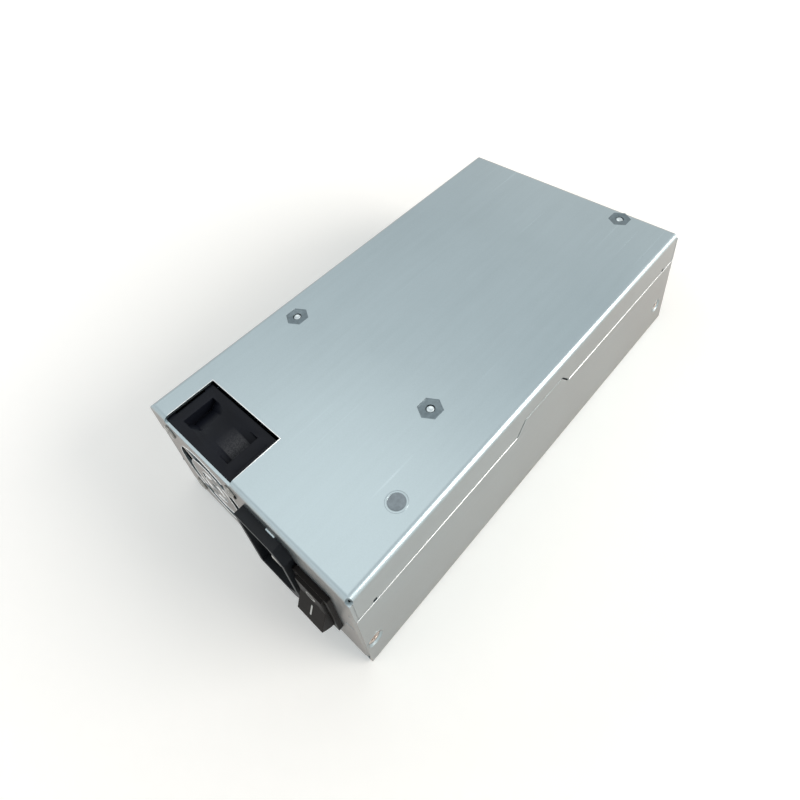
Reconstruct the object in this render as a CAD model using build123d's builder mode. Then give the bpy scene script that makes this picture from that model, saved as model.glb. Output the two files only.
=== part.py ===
from build123d import *

import os
from math import atan2, cos, radians, sin, sqrt, tan

# Flex power supply: folded steel case, side-on fan, mains inlet, rocker switch and circuit board.
# Lengths in millimetres. The origin is the middle of the case's lower face, +Z is up, and
# the end with the fan, inlet and switch looks towards -Y.

os.makedirs("parts", exist_ok=True)

# Case
case_width = 81.5
case_depth = 150.0
case_height = 40.5
sheet = 0.8
bend = 1.6
lap_gap = 0.1
seam_drop = 11.5
seam_gap = 0.2
tab_front = -13.0
tab_rear = 11.0
tab_rise = 4.2
tab_slope = 3.4
tab_round = 1.2
tab_gap = 0.5
nick_width = 1.2
nick_height = 1.0
relief_radius = 1.3
relief_depth = 2.2
front_return = 6.4
rear_return = 7.4

# Screws that hold the cover: place from the end faces and above the lower face
front_screw_inset = 3.0
rear_screw_inset = 6.0
cover_screw_height = 11.5
cover_head_radius = 2.4
cover_head_height = 0.85
cover_shank_radius = 1.2
cover_screw_length = 2.7
screw_gap = 0.05
recess_width = 0.55
recess_depth = 0.5

# Fan: a square frame behind the front wall, seen through a window in the tray
fan_length = 15.4
fan_side_room = 3.1
fan_height_room = 1.25
fan_inlet_gap = 0.15
fan_gap = 0.05
flange_thick = 2.7
flange_corner = 4.25
barrel_wall = 1.55
flare_rise = 1.05
flare_width = 1.8
bore_inset = 1.4
post_inset = 4.95
post_width = 3.65
screw_pitch_share = 0.7526
strut_width = 2.2
strut_thick = 2.0
strut_count = 3
motor_base_radius = 10.2
motor_base_thick = 1.6
hub_radius = 10.2
hub_wall = 1.1
hub_setback = 0.6
rotor_end_gap = 0.5
blade_count = 7
blade_thick = 0.9
blade_height = 10.4
blade_root_sink = 0.3
blade_root_reach = 5.2
blade_root_sag = 0.9
blade_tip_reach = 10.6
blade_tip_sag = 1.5
blade_tip_drop = 1.4
tip_gap = 0.45
fan_shaft_radius = 1.0
running_gap = 0.03
bearing_radius = 2.0
bearing_tube_radius = 3.0
bearing_tube_length = 11.0
bearing_floor = 0.8
hub_boss_radius = 2.4
pole_count = 4
air_gap = 0.35
magnet_thick = 1.0
magnet_length = 8.5
stator_thick = 4.5
stator_start = 4.2
pole_stem = 2.4
yoke_thick = 1.4
pole_shoe = 1.3
coil_build = 1.0
fan_board_radius = 7.6
fan_board_thick = 0.8

# Window in the tray over the fan
window_shift = 0.75
window_side_room = 3.75
window_depth = 16.85
window_drop = 1.4

# Grille punched in the front wall
grille_inset = 2.6
grille_ring_outer = 10.2
grille_ring_inner = 5.6
grille_disc = 4.5
grille_bridge = 2.6
grille_bridge_count = 4
grille_turn = 38.0
grille_eye = 1.3
cut_over = 1.0

# Fan screws
fan_screw_head_radius = 2.5
fan_screw_head_height = 1.5
fan_screw_radius = 1.45
fan_screw_length = 3.4

# Mains inlet, standing upright
inlet_inset = 30.95
inlet_width = 18.6
inlet_height = 27.0
inlet_proud = 2.9
inlet_corner = 3.4
inlet_body_width = 17.8
inlet_body_height = 26.2
inlet_body_depth = 17.0
cavity_width = 15.8
cavity_height = 24.0
cavity_corner = 4.2
cavity_depth = 16.5
cut_gap = 0.15
pin_pitch = 14.0
pin_offset = 4.0
pin_width = 4.0
pin_thick = 2.0
pin_setback = 1.6
pin_round = 0.6
tail_length = 8.0
tail_width = 4.8
tail_thick = 0.8

# Rocker switch
switch_inset = 15.1
switch_drop = 1.65
bezel_width = 12.6
bezel_height = 19.0
bezel_proud = 1.35
bezel_round = 0.6
switch_body_width = 11.4
switch_body_height = 18.0
switch_body_depth = 12.0
rocker_width = 9.4
rocker_gap = 0.25
rocker_pivot_depth = 1.2
rocker_middle = 3.5
rocker_reach = 6.6
rocker_dish = 11.7
rocker_throw = 24.0
rocker_pin_radius = 0.9
rocker_pin_length = 0.5
rocker_foot = 4.0
rocker_foot_depth = 1.5
rocker_leg = 2.4
rocker_leg_depth = 5.0
rocker_well_depth = 4.4
leg_well_height = 6.4
leg_well_depth = 7.4
terminal_length = 8.0
terminal_pitch = 9.0

# Slit beside the switch
slit_inset = 4.3
slit_drop = 1.45
slit_width = 2.6
slit_height = 0.8

# Circuit board, hung under the tray's plate on clinched hexagon standoffs
board_side_gap = 0.85
board_setback = 29.0
board_rear_gap = 0.8
board_thick = 1.6
standoff_length = 4.0
standoff_radius = 2.1
standoff_hex = 6.35
standoff_left_inset = 8.2
standoff_right_inset = 18.7
standoff_front_inset = 48.5
standoff_rear_inset = 4.3
board_screw_radius = 1.25
board_screw_head_radius = 2.4
board_screw_head_height = 1.4
film_thick = 0.4
film_gap = 0.3

# Earth stud pressed flush into the plate
stud_side_inset = 7.7
stud_front_inset = 23.6
stud_head_radius = 2.4
stud_radius = 1.5
stud_length = 9.0
earth_nut_hex = 5.5
earth_nut_height = 2.4
ring_radius = 3.0
ring_thick = 0.8
ring_tail = 7.0
ring_tail_width = 3.2

# Cable outlet in the rear wall
outlet_share = 0.49
outlet_z = 15.5
outlet_radius = 9.0
bush_wall = 1.2
bush_lip = 1.6
bush_lip_thick = 1.2
bush_gap = 0.05

# Vents in the rear wall
vent_share = -0.393
vent_drop = 2.25
vent_width = 2.2
vent_height = 18.0
vent_pitch = 4.6
vent_count = 9

# Parts that hang from the board. Places are shares of its half width, from the middle, and
# of its length, from its front edge. Sizes are across, along and down
fuse_share = (0.864, 0.109)
fuse_radius = 2.6
fuse_glass_radius = 2.35
fuse_length = 20.0
fuse_cap = 5.0
x_capacitor_share = (0.432, 0.046)
x_capacitor_size = (18.0, 8.5, 14.5)
x_capacitor_round = 1.0
y_capacitor_shares = ((-0.654, 0.038), (-0.654, 0.084))
y_capacitor_radius = 4.0
y_capacitor_thick = 2.8
y_lead_spread = 2.5
choke_share = (-0.183, 0.142)
choke_outer = 11.0
choke_inner = 6.0
choke_height = 9.0
choke_winding = 1.6
choke_winding_angle = 140.0
bridge_share = (0.877, 0.318)
bridge_size = (3.8, 20.0, 16.0)
bridge_corner = 2.0
bridge_lead = (0.8, 1.2, 2.0)
bridge_lead_count = 4
bulk_share = (-0.602, 0.402)
bulk_radius = 11.0
bulk_length_share = 0.285
bulk_round = 1.0
bulk_groove_inset = 4.0
bulk_groove_width = 1.4
bulk_groove_depth = 0.7
sink_thick = 2.4
sink_height = 27.0
sink_fold = 10.0
primary_sink_share = (0.157, 0.452)
primary_sink_length_share = 0.335
transistor_shares = (0.352, 0.486)
secondary_sink_share = (0.105, 0.762)
secondary_sink_length_share = 0.251
diode_shares = (0.704, 0.812)
device_size = (4.4, 10.2, 16.0)
device_body_share = 0.6
device_tab_thick = 1.2
device_lead = (0.6, 0.9, 4.0)
lead_pitch = 2.54
transformer_share = (-0.471, 0.712)
transformer_size = (26.0, 25.0, 24.0)
transformer_leg = 6.5
standby_share = (0.576, 0.444)
standby_size = (16.0, 15.0, 14.0)
standby_leg = 4.0
core_depth_share = 0.5
coil_round = 3.0
bobbin_foot_thick = 2.0
bobbin_foot_share = 0.6
output_choke_share = (0.589, 0.645)
output_choke_outer = 9.0
output_choke_inner = 4.6
output_choke_height = 9.0
output_winding_start = 30.0
output_winding_angle = 300.0
winding_corner_share = 0.9
capacitor_radius = 4.0
capacitor_height = 18.0
capacitor_round = 0.6
capacitor_shares = (
    (-0.864, 0.875),
    (-0.615, 0.875),
    (-0.366, 0.875),
    (-0.733, 0.951),
    (-0.471, 0.951),
)
controller_share = (0.932, 0.804)
controller_size = (1.6, 32.0, 17.0)
chip_size = (1.4, 9.0, 5.0)
fan_header_share = (-0.864, 0.042)
fan_header_size = (6.0, 5.0, 7.0)
header_wall = 0.8
header_depth = 4.0
header_pin = 0.64
header_pin_length = 4.5
lead_radius = 0.4
seat_gap = 0.3
winding_gap = 0.3

# Worked out from the sizes above
half_width = case_width / 2
mid_height = case_height / 2
seam_height = case_height - seam_drop
front_face = -case_depth / 2
rear_face = case_depth / 2
wall_front = front_face + sheet
wall_rear = rear_face - sheet
plate_under = case_height - sheet
lap_x = half_width - sheet - lap_gap
fold_start = lap_x - bend - sheet / 2
floor_top = sheet + lap_gap
return_bottom = bend + lap_gap
tray_seam = seam_height + seam_gap / 2
cover_seam = seam_height - seam_gap / 2
inlet_x = half_width - inlet_inset
inlet_z = mid_height
switch_x = half_width - switch_inset
switch_z = mid_height - switch_drop
slit_x = half_width - slit_inset
slit_z = mid_height - slit_drop
stud_x = half_width - stud_side_inset
stud_y = front_face + stud_front_inset
outlet_x = outlet_share * half_width
vent_x = vent_share * half_width
vent_z = mid_height - vent_drop
# The fan fills the height of the case, as far as the inlet beside it leaves room
fan_left = fan_side_room - half_width
fan_size = min(
    case_height - 2 * fan_height_room, inlet_x - inlet_width / 2 - fan_inlet_gap - fan_left
)
fan_x = fan_left + fan_size / 2
fan_z = mid_height
fan_front = wall_front + fan_gap
bore_radius = fan_size / 2 - bore_inset
barrel_radius = bore_radius + barrel_wall
flare_radius = barrel_radius + flare_rise
post_outer = fan_size / 2 - post_inset
post_inner = post_outer - post_width
screw_pitch = screw_pitch_share * fan_size
blade_tip = bore_radius - tip_gap
window_x = fan_x + window_shift
window_width = fan_size - 2 * window_side_room
grille_outer = bore_radius - grille_inset
board_width = 2 * (lap_x - sheet - board_side_gap)
board_front = front_face + board_setback
board_rear = wall_rear - board_rear_gap
board_length = board_rear - board_front
board_top = plate_under - standoff_length
board_under = board_top - board_thick
hub_inside = hub_radius - hub_wall
hub_floor = fan_length - hub_setback - hub_wall
pole_radius = hub_inside - magnet_thick - air_gap
rocker_radius = sqrt(
    rocker_reach**2 + (rocker_middle + rocker_reach * tan(radians(rocker_dish))) ** 2
)
rocker_y = front_face + rocker_pivot_depth
face_plane = Plane.XZ.offset(-front_face)
rear_plane = Plane(origin=(0, rear_face, 0), x_dir=(-1, 0, 0), z_dir=(0, 1, 0))
fan_plane = Plane(origin=(fan_x, fan_front, fan_z), x_dir=(1, 0, 0), z_dir=(0, 1, 0))
fan_screw_places = [
    (fan_x + across * screw_pitch / 2, fan_z + up * screw_pitch / 2)
    for across in (-1, 1)
    for up in (-1, 1)
]
standoff_places = (
    (standoff_left_inset - half_width, front_face + standoff_front_inset),
    (half_width - standoff_right_inset, front_face + standoff_front_inset),
    (half_width - standoff_right_inset, rear_face - standoff_rear_inset),
)


def seam_line(height, grow):
    """The stepped seam from rear to front, with its tab grown by a gap at both ends."""
    top = height + tab_rise
    return [
        (rear_face + sheet, height),
        (tab_rear + grow, height),
        (tab_rear + grow - tab_slope, top),
        (tab_front - grow + tab_slope, top),
        (tab_front - grow, height),
        (front_face - sheet, height),
    ]


def hex_corner(across_flats):
    """Radius to the corners of a hexagon of a width across its flats."""
    return across_flats / sqrt(3)


def on_board(shares):
    """The place across and along that a pair of shares of the board stands for."""
    return (shares[0] * board_width / 2, board_front + shares[1] * board_length)


def hang(place, size, drop=0.0):
    """A box of a size below the board at a place, with a gap above it."""
    with Locations((place[0], place[1], board_under - drop)):
        Box(*size, align=(Align.CENTER, Align.CENTER, Align.MAX))


def cross_screw(head_radius, head_height, shank_radius, length, flat_head):
    """A cross-head screw that points to -Z, with the face it bears on, or its flat top, at zero."""
    top = 0 if flat_head else head_height
    edge = (shank_radius, -head_height) if flat_head else (head_radius, 0)
    with BuildPart() as screw:
        with BuildSketch(Plane.XZ):
            with BuildLine():
                if flat_head:
                    Polyline((0, top), (head_radius, top), edge)
                else:
                    Line((0, top), (head_radius * 0.5, top))
                    ThreePointArc(
                        (head_radius * 0.5, top),
                        (head_radius * 0.86, top * 0.82),
                        (head_radius, top * 0.4),
                    )
                    Line((head_radius, top * 0.4), edge)
                    Line(edge, (shank_radius, 0))
                start = edge if flat_head else (shank_radius, 0)
                Polyline(start, (shank_radius, -length), (0, -length), (0, top))
            make_face()
        revolve(axis=Axis.Z)
        with Locations((0, 0, top)):
            Box(head_radius * 1.1, recess_width, 2 * recess_depth, mode=Mode.SUBTRACT)
            Box(recess_width, head_radius * 1.1, 2 * recess_depth, mode=Mode.SUBTRACT)
    return screw.part


# Chassis tray: plate, front wall with its openings, rear wall and short side walls
with BuildPart() as chassis_tray:
    Box(case_width, case_depth, case_height, align=(Align.CENTER, Align.CENTER, Align.MIN))
    fillet(chassis_tray.edges().group_by(Axis.Z)[-1], bend)
    offset(amount=-sheet, openings=chassis_tray.faces().sort_by(Axis.Z)[0])
    # The side walls stop at the seam, and the end walls stand back from the cover's sides
    for side in (-1, 1):
        with BuildSketch(Plane.YZ.offset(side * lap_x)):
            with BuildLine():
                FilletPolyline(
                    *seam_line(tray_seam, tab_gap),
                    (front_face - sheet, -sheet),
                    (rear_face + sheet, -sheet),
                    radius=[0, tab_round, tab_round, tab_round, tab_round, 0, 0, 0],
                    close=True,
                )
            make_face()
        extrude(amount=side * 2 * sheet, mode=Mode.SUBTRACT)
    # The end walls end above the cover's plate
    Box(case_width + sheet, case_depth + sheet, 2 * floor_top, mode=Mode.SUBTRACT)
    # Their lower corners are folded in, and these returns take the cover's screws
    for end, length in ((-1, front_return), (1, rear_return)):
        for side in (-1, 1):
            inner_side = Align.MIN if side > 0 else Align.MAX
            with Locations((side * (lap_x - bend), end * rear_face, 0)):
                Box(
                    2 * bend,
                    3 * sheet,
                    tray_seam,
                    align=(inner_side, Align.CENTER, Align.MIN),
                    mode=Mode.SUBTRACT,
                )
            with BuildSketch(Plane.XY.offset(return_bottom)):
                with BuildLine():
                    FilletPolyline(
                        (side * fold_start, end * rear_face),
                        (side * lap_x, end * rear_face),
                        (side * lap_x, end * (rear_face - length)),
                        (side * (lap_x - sheet), end * (rear_face - length)),
                        (side * (lap_x - sheet), end * wall_rear),
                        (side * fold_start, end * wall_rear),
                        radius=[0, bend, 0, 0, bend - sheet, 0],
                        close=True,
                    )
                make_face()
            extrude(amount=cover_seam - relief_radius / 2 - return_bottom)
    # Slits between the end walls and the side walls, with a round relief at the fold
    for end in (-1, 1):
        slit_side = Align.MAX if end > 0 else Align.MIN
        for side in (-1, 1):
            with Locations((side * half_width, end * wall_rear, 0)):
                Box(
                    2 * (sheet + lap_gap),
                    seam_gap,
                    case_height - bend,
                    align=(Align.CENTER, slit_side, Align.MIN),
                    mode=Mode.SUBTRACT,
                )
            with Locations((side * half_width, end * rear_face, case_height)):
                Cylinder(relief_radius, 2 * relief_depth, mode=Mode.SUBTRACT)
    # Nicks in the side walls' lower edges, at the ends of the returns
    for y in (front_face + front_return, rear_face - rear_return):
        with Locations((-half_width, y, tray_seam), (half_width, y, tray_seam)):
            Box(4 * sheet, nick_width, 2 * nick_height, mode=Mode.SUBTRACT)
    # Window over the fan, cut through the fold
    with Locations((window_x, front_face - sheet, case_height + sheet)):
        Box(
            window_width,
            window_depth + sheet,
            window_drop + sheet,
            align=(Align.CENTER, Align.MIN, Align.MAX),
            mode=Mode.SUBTRACT,
        )
    # Grille: a wide ring slot and a thin one, each crossed by bridges, and an eye
    with BuildSketch(face_plane):
        with Locations((fan_x, fan_z)):
            for outer, inner in ((grille_outer, grille_ring_outer), (grille_ring_inner, grille_disc)):
                Circle(outer)
                Circle(inner, mode=Mode.SUBTRACT)
                with PolarLocations((outer + inner) / 2, grille_bridge_count, grille_turn):
                    Rectangle(outer - inner + 2 * cut_over, grille_bridge, mode=Mode.SUBTRACT)
            Circle(grille_eye)
        # Holes for the fan's screws, the inlet and the switch, and the slit
        with Locations(*fan_screw_places):
            Circle(fan_screw_radius + screw_gap)
        with Locations((inlet_x, inlet_z)):
            Rectangle(inlet_body_width + 2 * cut_gap, inlet_body_height + 2 * cut_gap)
        with Locations((switch_x, switch_z)):
            Rectangle(switch_body_width + 2 * cut_gap, switch_body_height + 2 * cut_gap)
        with Locations((slit_x, slit_z)):
            Rectangle(slit_width, slit_height)
    extrude(amount=-2 * sheet, mode=Mode.SUBTRACT)
    # Cable outlet and vents in the rear wall
    with BuildSketch(rear_plane):
        with Locations((-outlet_x, outlet_z)):
            Circle(outlet_radius)
        with Locations((-vent_x, vent_z)):
            with GridLocations(vent_pitch, 1, vent_count, 1):
                SlotOverall(vent_height, vent_width, rotation=90)
    extrude(amount=-2 * sheet, mode=Mode.SUBTRACT)
    # Holes in the plate for the standoffs and the earth stud
    with BuildSketch(Plane.XY.offset(plate_under)):
        with Locations(*standoff_places):
            RegularPolygon(hex_corner(standoff_hex), 6, rotation=30)
        with Locations((stud_x, stud_y)):
            Circle(stud_head_radius)
    extrude(amount=sheet, mode=Mode.SUBTRACT)
    # Holes in the returns for the cover's screws
    for y in (front_face + front_screw_inset, rear_face - rear_screw_inset):
        with BuildSketch(Plane.YZ.offset(-half_width)):
            with Locations((y, cover_screw_height)):
                Circle(cover_shank_radius + screw_gap)
        extrude(amount=case_width, mode=Mode.SUBTRACT)
chassis_tray.part.label = "chassis_tray"
export_step(chassis_tray.part, "parts/chassis_tray.step")

# Cover: lower plate and the two side walls, with the tabs that lap up the tray's sides
cover_screw_planes = [
    Plane(origin=(side * half_width, y, cover_screw_height), x_dir=(0, 1, 0), z_dir=(side, 0, 0))
    for side in (-1, 1)
    for y in (front_face + front_screw_inset, rear_face - rear_screw_inset)
]
with BuildPart() as cover_shell:
    strip_top = cover_seam + tab_rise
    with BuildSketch(Plane.XZ.offset(rear_face - seam_gap)):
        with BuildLine():
            FilletPolyline(
                (-half_width, strip_top),
                (-half_width, 0),
                (half_width, 0),
                (half_width, strip_top),
                (half_width - sheet, strip_top),
                (half_width - sheet, sheet),
                (sheet - half_width, sheet),
                (sheet - half_width, strip_top),
                radius=[0, bend, bend, 0, 0, bend - sheet, bend - sheet, 0],
                close=True,
            )
        make_face()
    extrude(amount=-(case_depth - 2 * seam_gap))
    with BuildSketch(Plane.YZ.offset(-half_width - sheet)):
        with BuildLine():
            FilletPolyline(
                *seam_line(cover_seam, 0),
                (front_face - sheet, case_height),
                (rear_face + sheet, case_height),
                radius=[0, tab_round, tab_round, tab_round, tab_round, 0, 0, 0],
                close=True,
            )
        make_face()
    extrude(amount=case_width + 2 * sheet, mode=Mode.SUBTRACT)
    # Conical holes for the countersunk screws
    with Locations(*cover_screw_planes):
        Cone(
            cover_shank_radius + screw_gap,
            cover_head_radius + screw_gap,
            cover_head_height,
            align=(Align.CENTER, Align.CENTER, Align.MAX),
            mode=Mode.SUBTRACT,
        )
cover_shell.part.label = "cover_shell"
export_step(cover_shell.part, "parts/cover_shell.step")

# Countersunk screws of the cover
with BuildPart() as cover_screws:
    cover_screw = cross_screw(
        cover_head_radius, cover_head_height, cover_shank_radius, cover_screw_length, True
    )
    with Locations(*cover_screw_planes):
        add(cover_screw)
cover_screws.part.label = "cover_screws"
export_step(cover_screws.part, "parts/cover_screws.step")

# Fan frame: two flanges, a barrel that flares to them, corner posts, motor base and struts
fan_axis = Axis((fan_x, fan_front, fan_z), (0, 1, 0))
with BuildPart(fan_plane) as fan_frame:
    waist = Plane(origin=(fan_x, fan_front, fan_z), x_dir=(1, 0, 0), z_dir=(0, 0, 1))
    back = fan_length - flange_thick
    with BuildSketch(waist):
        with BuildLine():
            ThreePointArc(
                (flare_radius, flange_thick),
                (barrel_radius + 0.3 * flare_rise, flange_thick + 0.45 * flare_width),
                (barrel_radius, flange_thick + flare_width),
            )
            Line((barrel_radius, flange_thick + flare_width), (barrel_radius, back - flare_width))
            ThreePointArc(
                (barrel_radius, back - flare_width),
                (barrel_radius + 0.3 * flare_rise, back - 0.45 * flare_width),
                (flare_radius, back),
            )
            Polyline((flare_radius, back), (0, back), (0, flange_thick), (flare_radius, flange_thick))
        make_face()
    revolve(axis=fan_axis)
    # Posts beside the screw holes
    with BuildSketch(fan_plane.offset(flange_thick)):
        Rectangle(fan_size, 2 * post_outer)
        Rectangle(2 * post_outer, fan_size)
        Rectangle(fan_size, 2 * post_inner, mode=Mode.SUBTRACT)
        Rectangle(2 * post_inner, fan_size, mode=Mode.SUBTRACT)
    extrude(amount=back - flange_thick)
    with BuildSketch(fan_plane):
        Rectangle(fan_size, fan_size)
    extrude(amount=fan_length, mode=Mode.INTERSECT)
    # Flanges
    with BuildSketch(fan_plane, fan_plane.offset(back)):
        RectangleRounded(fan_size, fan_size, flange_corner)
        with GridLocations(screw_pitch, screw_pitch, 2, 2):
            Circle(fan_screw_radius + screw_gap, mode=Mode.SUBTRACT)
    extrude(amount=flange_thick)
    with BuildSketch(fan_plane):
        Circle(bore_radius)
    extrude(amount=fan_length, mode=Mode.SUBTRACT)
    # Motor base, struts and the tube that holds the bearing
    with BuildSketch(fan_plane):
        Circle(motor_base_radius)
    extrude(amount=motor_base_thick)
    with BuildSketch(fan_plane):
        strut_reach = bore_radius - motor_base_radius + 2 * cut_over
        with PolarLocations((bore_radius + motor_base_radius) / 2, strut_count, start_angle=90):
            Rectangle(strut_reach, strut_width)
    extrude(amount=strut_thick)
    with BuildSketch(fan_plane):
        Circle(bearing_tube_radius)
    extrude(amount=bearing_tube_length)
    with BuildSketch(fan_plane.offset(bearing_floor)):
        Circle(bearing_radius)
    extrude(amount=bearing_tube_length, mode=Mode.SUBTRACT)
fan_frame.part.label = "fan_frame"
export_step(fan_frame.part, "parts/fan_frame.step")

# Fan circuit board on the motor base
with BuildPart(fan_plane) as fan_circuit_board:
    with BuildSketch(fan_plane.offset(motor_base_thick)):
        Circle(fan_board_radius)
        Circle(bearing_tube_radius + screw_gap, mode=Mode.SUBTRACT)
    extrude(amount=fan_board_thick)
fan_circuit_board.part.label = "fan_circuit_board"
export_step(fan_circuit_board.part, "parts/fan_circuit_board.step")

# Fan stator: pole stack with shoes, and a coil on each pole
shoe_inside = pole_radius - pole_shoe
yoke_radius = bearing_tube_radius + yoke_thick
with BuildPart(fan_plane) as fan_stator_core:
    with BuildSketch(fan_plane.offset(stator_start)):
        Circle(pole_radius)
        Circle(shoe_inside, mode=Mode.SUBTRACT)
        with PolarLocations(pole_radius, pole_count, start_angle=180 / pole_count):
            Rectangle(2 * (pole_shoe + cut_over), pole_stem, mode=Mode.SUBTRACT)
        with PolarLocations((shoe_inside + yoke_radius) / 2, pole_count):
            Rectangle(shoe_inside - yoke_radius + pole_shoe, pole_stem)
        Circle(yoke_radius)
        Circle(bearing_tube_radius, mode=Mode.SUBTRACT)
    extrude(amount=stator_thick)
fan_stator_core.part.label = "fan_stator_core"
export_step(fan_stator_core.part, "parts/fan_stator_core.step")

with BuildPart(fan_plane) as fan_stator_coils:
    coil_inner = yoke_radius + screw_gap
    coil_outer = sqrt(shoe_inside**2 - (pole_stem / 2 + coil_build) ** 2) - screw_gap
    coil_reach = coil_outer - coil_inner
    with PolarLocations((coil_outer + coil_inner) / 2, pole_count):
        with Locations((0, 0, stator_start + stator_thick / 2)):
            Box(coil_reach, pole_stem + 2 * coil_build, stator_thick + 2 * coil_build)
            Box(coil_reach, pole_stem, stator_thick, mode=Mode.SUBTRACT)
fan_stator_coils.part.label = "fan_stator_coils"
export_step(fan_stator_coils.part, "parts/fan_stator_coils.step")

# Fan bearing, a plain sleeve in the tube
with BuildPart(fan_plane) as fan_bearing:
    with BuildSketch(fan_plane.offset(bearing_floor)):
        Circle(bearing_radius)
        Circle(fan_shaft_radius + running_gap, mode=Mode.SUBTRACT)
    extrude(amount=bearing_tube_length - bearing_floor)
fan_bearing.part.label = "fan_bearing"
export_step(fan_bearing.part, "parts/fan_bearing.step")

# Fan rotor: a cup with a boss for the shaft and twisted blades


def blade_section(radius, reach, height, sag):
    """A bowed blade section on a plane at a radius, reaching round and along the axis."""
    length = sqrt(reach**2 + height**2)
    bow = Vector(-height / length, reach / length)
    start = Vector(-reach / 2, -height / 2)
    middle = bow * sag
    finish = Vector(reach / 2, height / 2)
    step = bow * blade_thick
    with BuildSketch(Plane(origin=(radius, 0, 0), x_dir=(0, 1, 0), z_dir=(1, 0, 0))) as section:
        with BuildLine():
            ThreePointArc(start, middle, finish)
            Line(finish, finish + step)
            ThreePointArc(finish + step, middle + step, start + step)
            Line(start + step, start)
        make_face()
    return section.sketch


with BuildPart() as fan_blade:
    root = blade_section(
        hub_inside + blade_root_sink, blade_root_reach, blade_height, blade_root_sag
    )
    tip = blade_section(
        bore_radius, blade_tip_reach, blade_height - blade_tip_drop, blade_tip_sag
    )
    loft([root.face(), tip.face()])
    Cylinder(blade_tip, 2 * fan_length, mode=Mode.INTERSECT)

with BuildPart(fan_plane) as fan_rotor:
    hub_start = motor_base_thick + rotor_end_gap
    with BuildSketch(fan_plane.offset(hub_start)):
        Circle(hub_radius)
    extrude(amount=fan_length - hub_setback - hub_start)
    fillet(fan_rotor.edges().filter_by(GeomType.CIRCLE).sort_by(Axis.Y)[-1], hub_wall * 0.8)
    with BuildSketch(fan_plane.offset(hub_start)):
        Circle(hub_inside)
    extrude(amount=hub_floor - hub_start, mode=Mode.SUBTRACT)
    with BuildSketch(fan_plane.offset(bearing_tube_length + rotor_end_gap)):
        Circle(hub_boss_radius)
    extrude(amount=hub_floor - bearing_tube_length - rotor_end_gap)
    with BuildSketch(fan_plane.offset(bearing_tube_length)):
        Circle(fan_shaft_radius)
    extrude(amount=hub_floor - bearing_tube_length, mode=Mode.SUBTRACT)
    with Locations((0, 0, (hub_start + fan_length - hub_setback) / 2)):
        with PolarLocations(0, blade_count):
            add(fan_blade.part)
fan_rotor.part.label = "fan_rotor"
export_step(fan_rotor.part, "parts/fan_rotor.step")

# Ring magnet inside the rotor's cup
with BuildPart(fan_plane) as fan_magnet:
    with BuildSketch(fan_plane.offset(hub_floor - magnet_length)):
        Circle(hub_inside)
        Circle(hub_inside - magnet_thick, mode=Mode.SUBTRACT)
    extrude(amount=magnet_length)
fan_magnet.part.label = "fan_magnet"
export_step(fan_magnet.part, "parts/fan_magnet.step")

# Fan shaft
with BuildPart(fan_plane) as fan_shaft:
    with BuildSketch(fan_plane.offset(bearing_floor + rotor_end_gap / 2)):
        Circle(fan_shaft_radius)
    extrude(amount=hub_floor - bearing_floor - rotor_end_gap / 2)
fan_shaft.part.label = "fan_shaft"
export_step(fan_shaft.part, "parts/fan_shaft.step")

# Fan screws, driven in from the front
with BuildPart() as fan_screws:
    fan_screw = cross_screw(
        fan_screw_head_radius, fan_screw_head_height, fan_screw_radius, fan_screw_length, False
    )
    screw_planes = [Plane(origin=(x, front_face, z), z_dir=(0, -1, 0)) for x, z in fan_screw_places]
    with Locations(*screw_planes):
        add(fan_screw)
fan_screws.part.label = "fan_screws"
export_step(fan_screws.part, "parts/fan_screws.step")

# Mains inlet: a block with a deep cavity and two cut corners, and its three pins
with BuildPart() as inlet_housing:
    with BuildSketch(face_plane):
        with Locations((inlet_x, inlet_z)):
            Rectangle(inlet_width, inlet_height)
    extrude(amount=inlet_proud)
    chamfer(inlet_housing.edges().filter_by(Axis.Y).group_by(Axis.X)[-1], inlet_corner)
    with BuildSketch(face_plane):
        with Locations((inlet_x, inlet_z)):
            Rectangle(inlet_body_width, inlet_body_height)
    extrude(amount=-inlet_body_depth - sheet)
    with BuildSketch(face_plane.offset(inlet_proud)) as mouth:
        with Locations((inlet_x, inlet_z)):
            Rectangle(cavity_width, cavity_height)
        chamfer(mouth.vertices().group_by(Axis.X)[-1], cavity_corner)
    extrude(amount=-cavity_depth, mode=Mode.SUBTRACT)
    # Slots in the floor for the pins
    with BuildSketch(face_plane.offset(inlet_proud - cavity_depth)):
        with Locations((inlet_x - pin_offset / 2, inlet_z)):
            with GridLocations(1, pin_pitch, 1, 2):
                Rectangle(pin_width, pin_thick)
        with Locations((inlet_x + pin_offset / 2, inlet_z)):
            Rectangle(pin_width, pin_thick)
    extrude(amount=-inlet_body_depth, mode=Mode.SUBTRACT)
inlet_housing.part.label = "inlet_housing"
export_step(inlet_housing.part, "parts/inlet_housing.step")

inlet_floor = front_face - inlet_proud + cavity_depth
inlet_back = front_face + sheet + inlet_body_depth
pin_front = front_face - inlet_proud + pin_setback
with BuildPart() as inlet_pins:
    pin_places = [
        (inlet_x - pin_offset / 2, inlet_z - pin_pitch / 2),
        (inlet_x - pin_offset / 2, inlet_z + pin_pitch / 2),
        (inlet_x + pin_offset / 2, inlet_z),
    ]
    for x, z in pin_places:
        with Locations((x, pin_front, z)):
            Box(
                pin_width,
                inlet_back - pin_front,
                pin_thick,
                align=(Align.CENTER, Align.MIN, Align.CENTER),
            )
    fillet(inlet_pins.edges().group_by(Axis.Y)[0], pin_round)
    for x, z in pin_places:
        with Locations((x, inlet_back, z)):
            Box(
                tail_width,
                tail_length,
                tail_thick,
                align=(Align.CENTER, Align.MIN, Align.CENTER),
            )
inlet_pins.part.label = "inlet_pins"
export_step(inlet_pins.part, "parts/inlet_pins.step")

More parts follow.
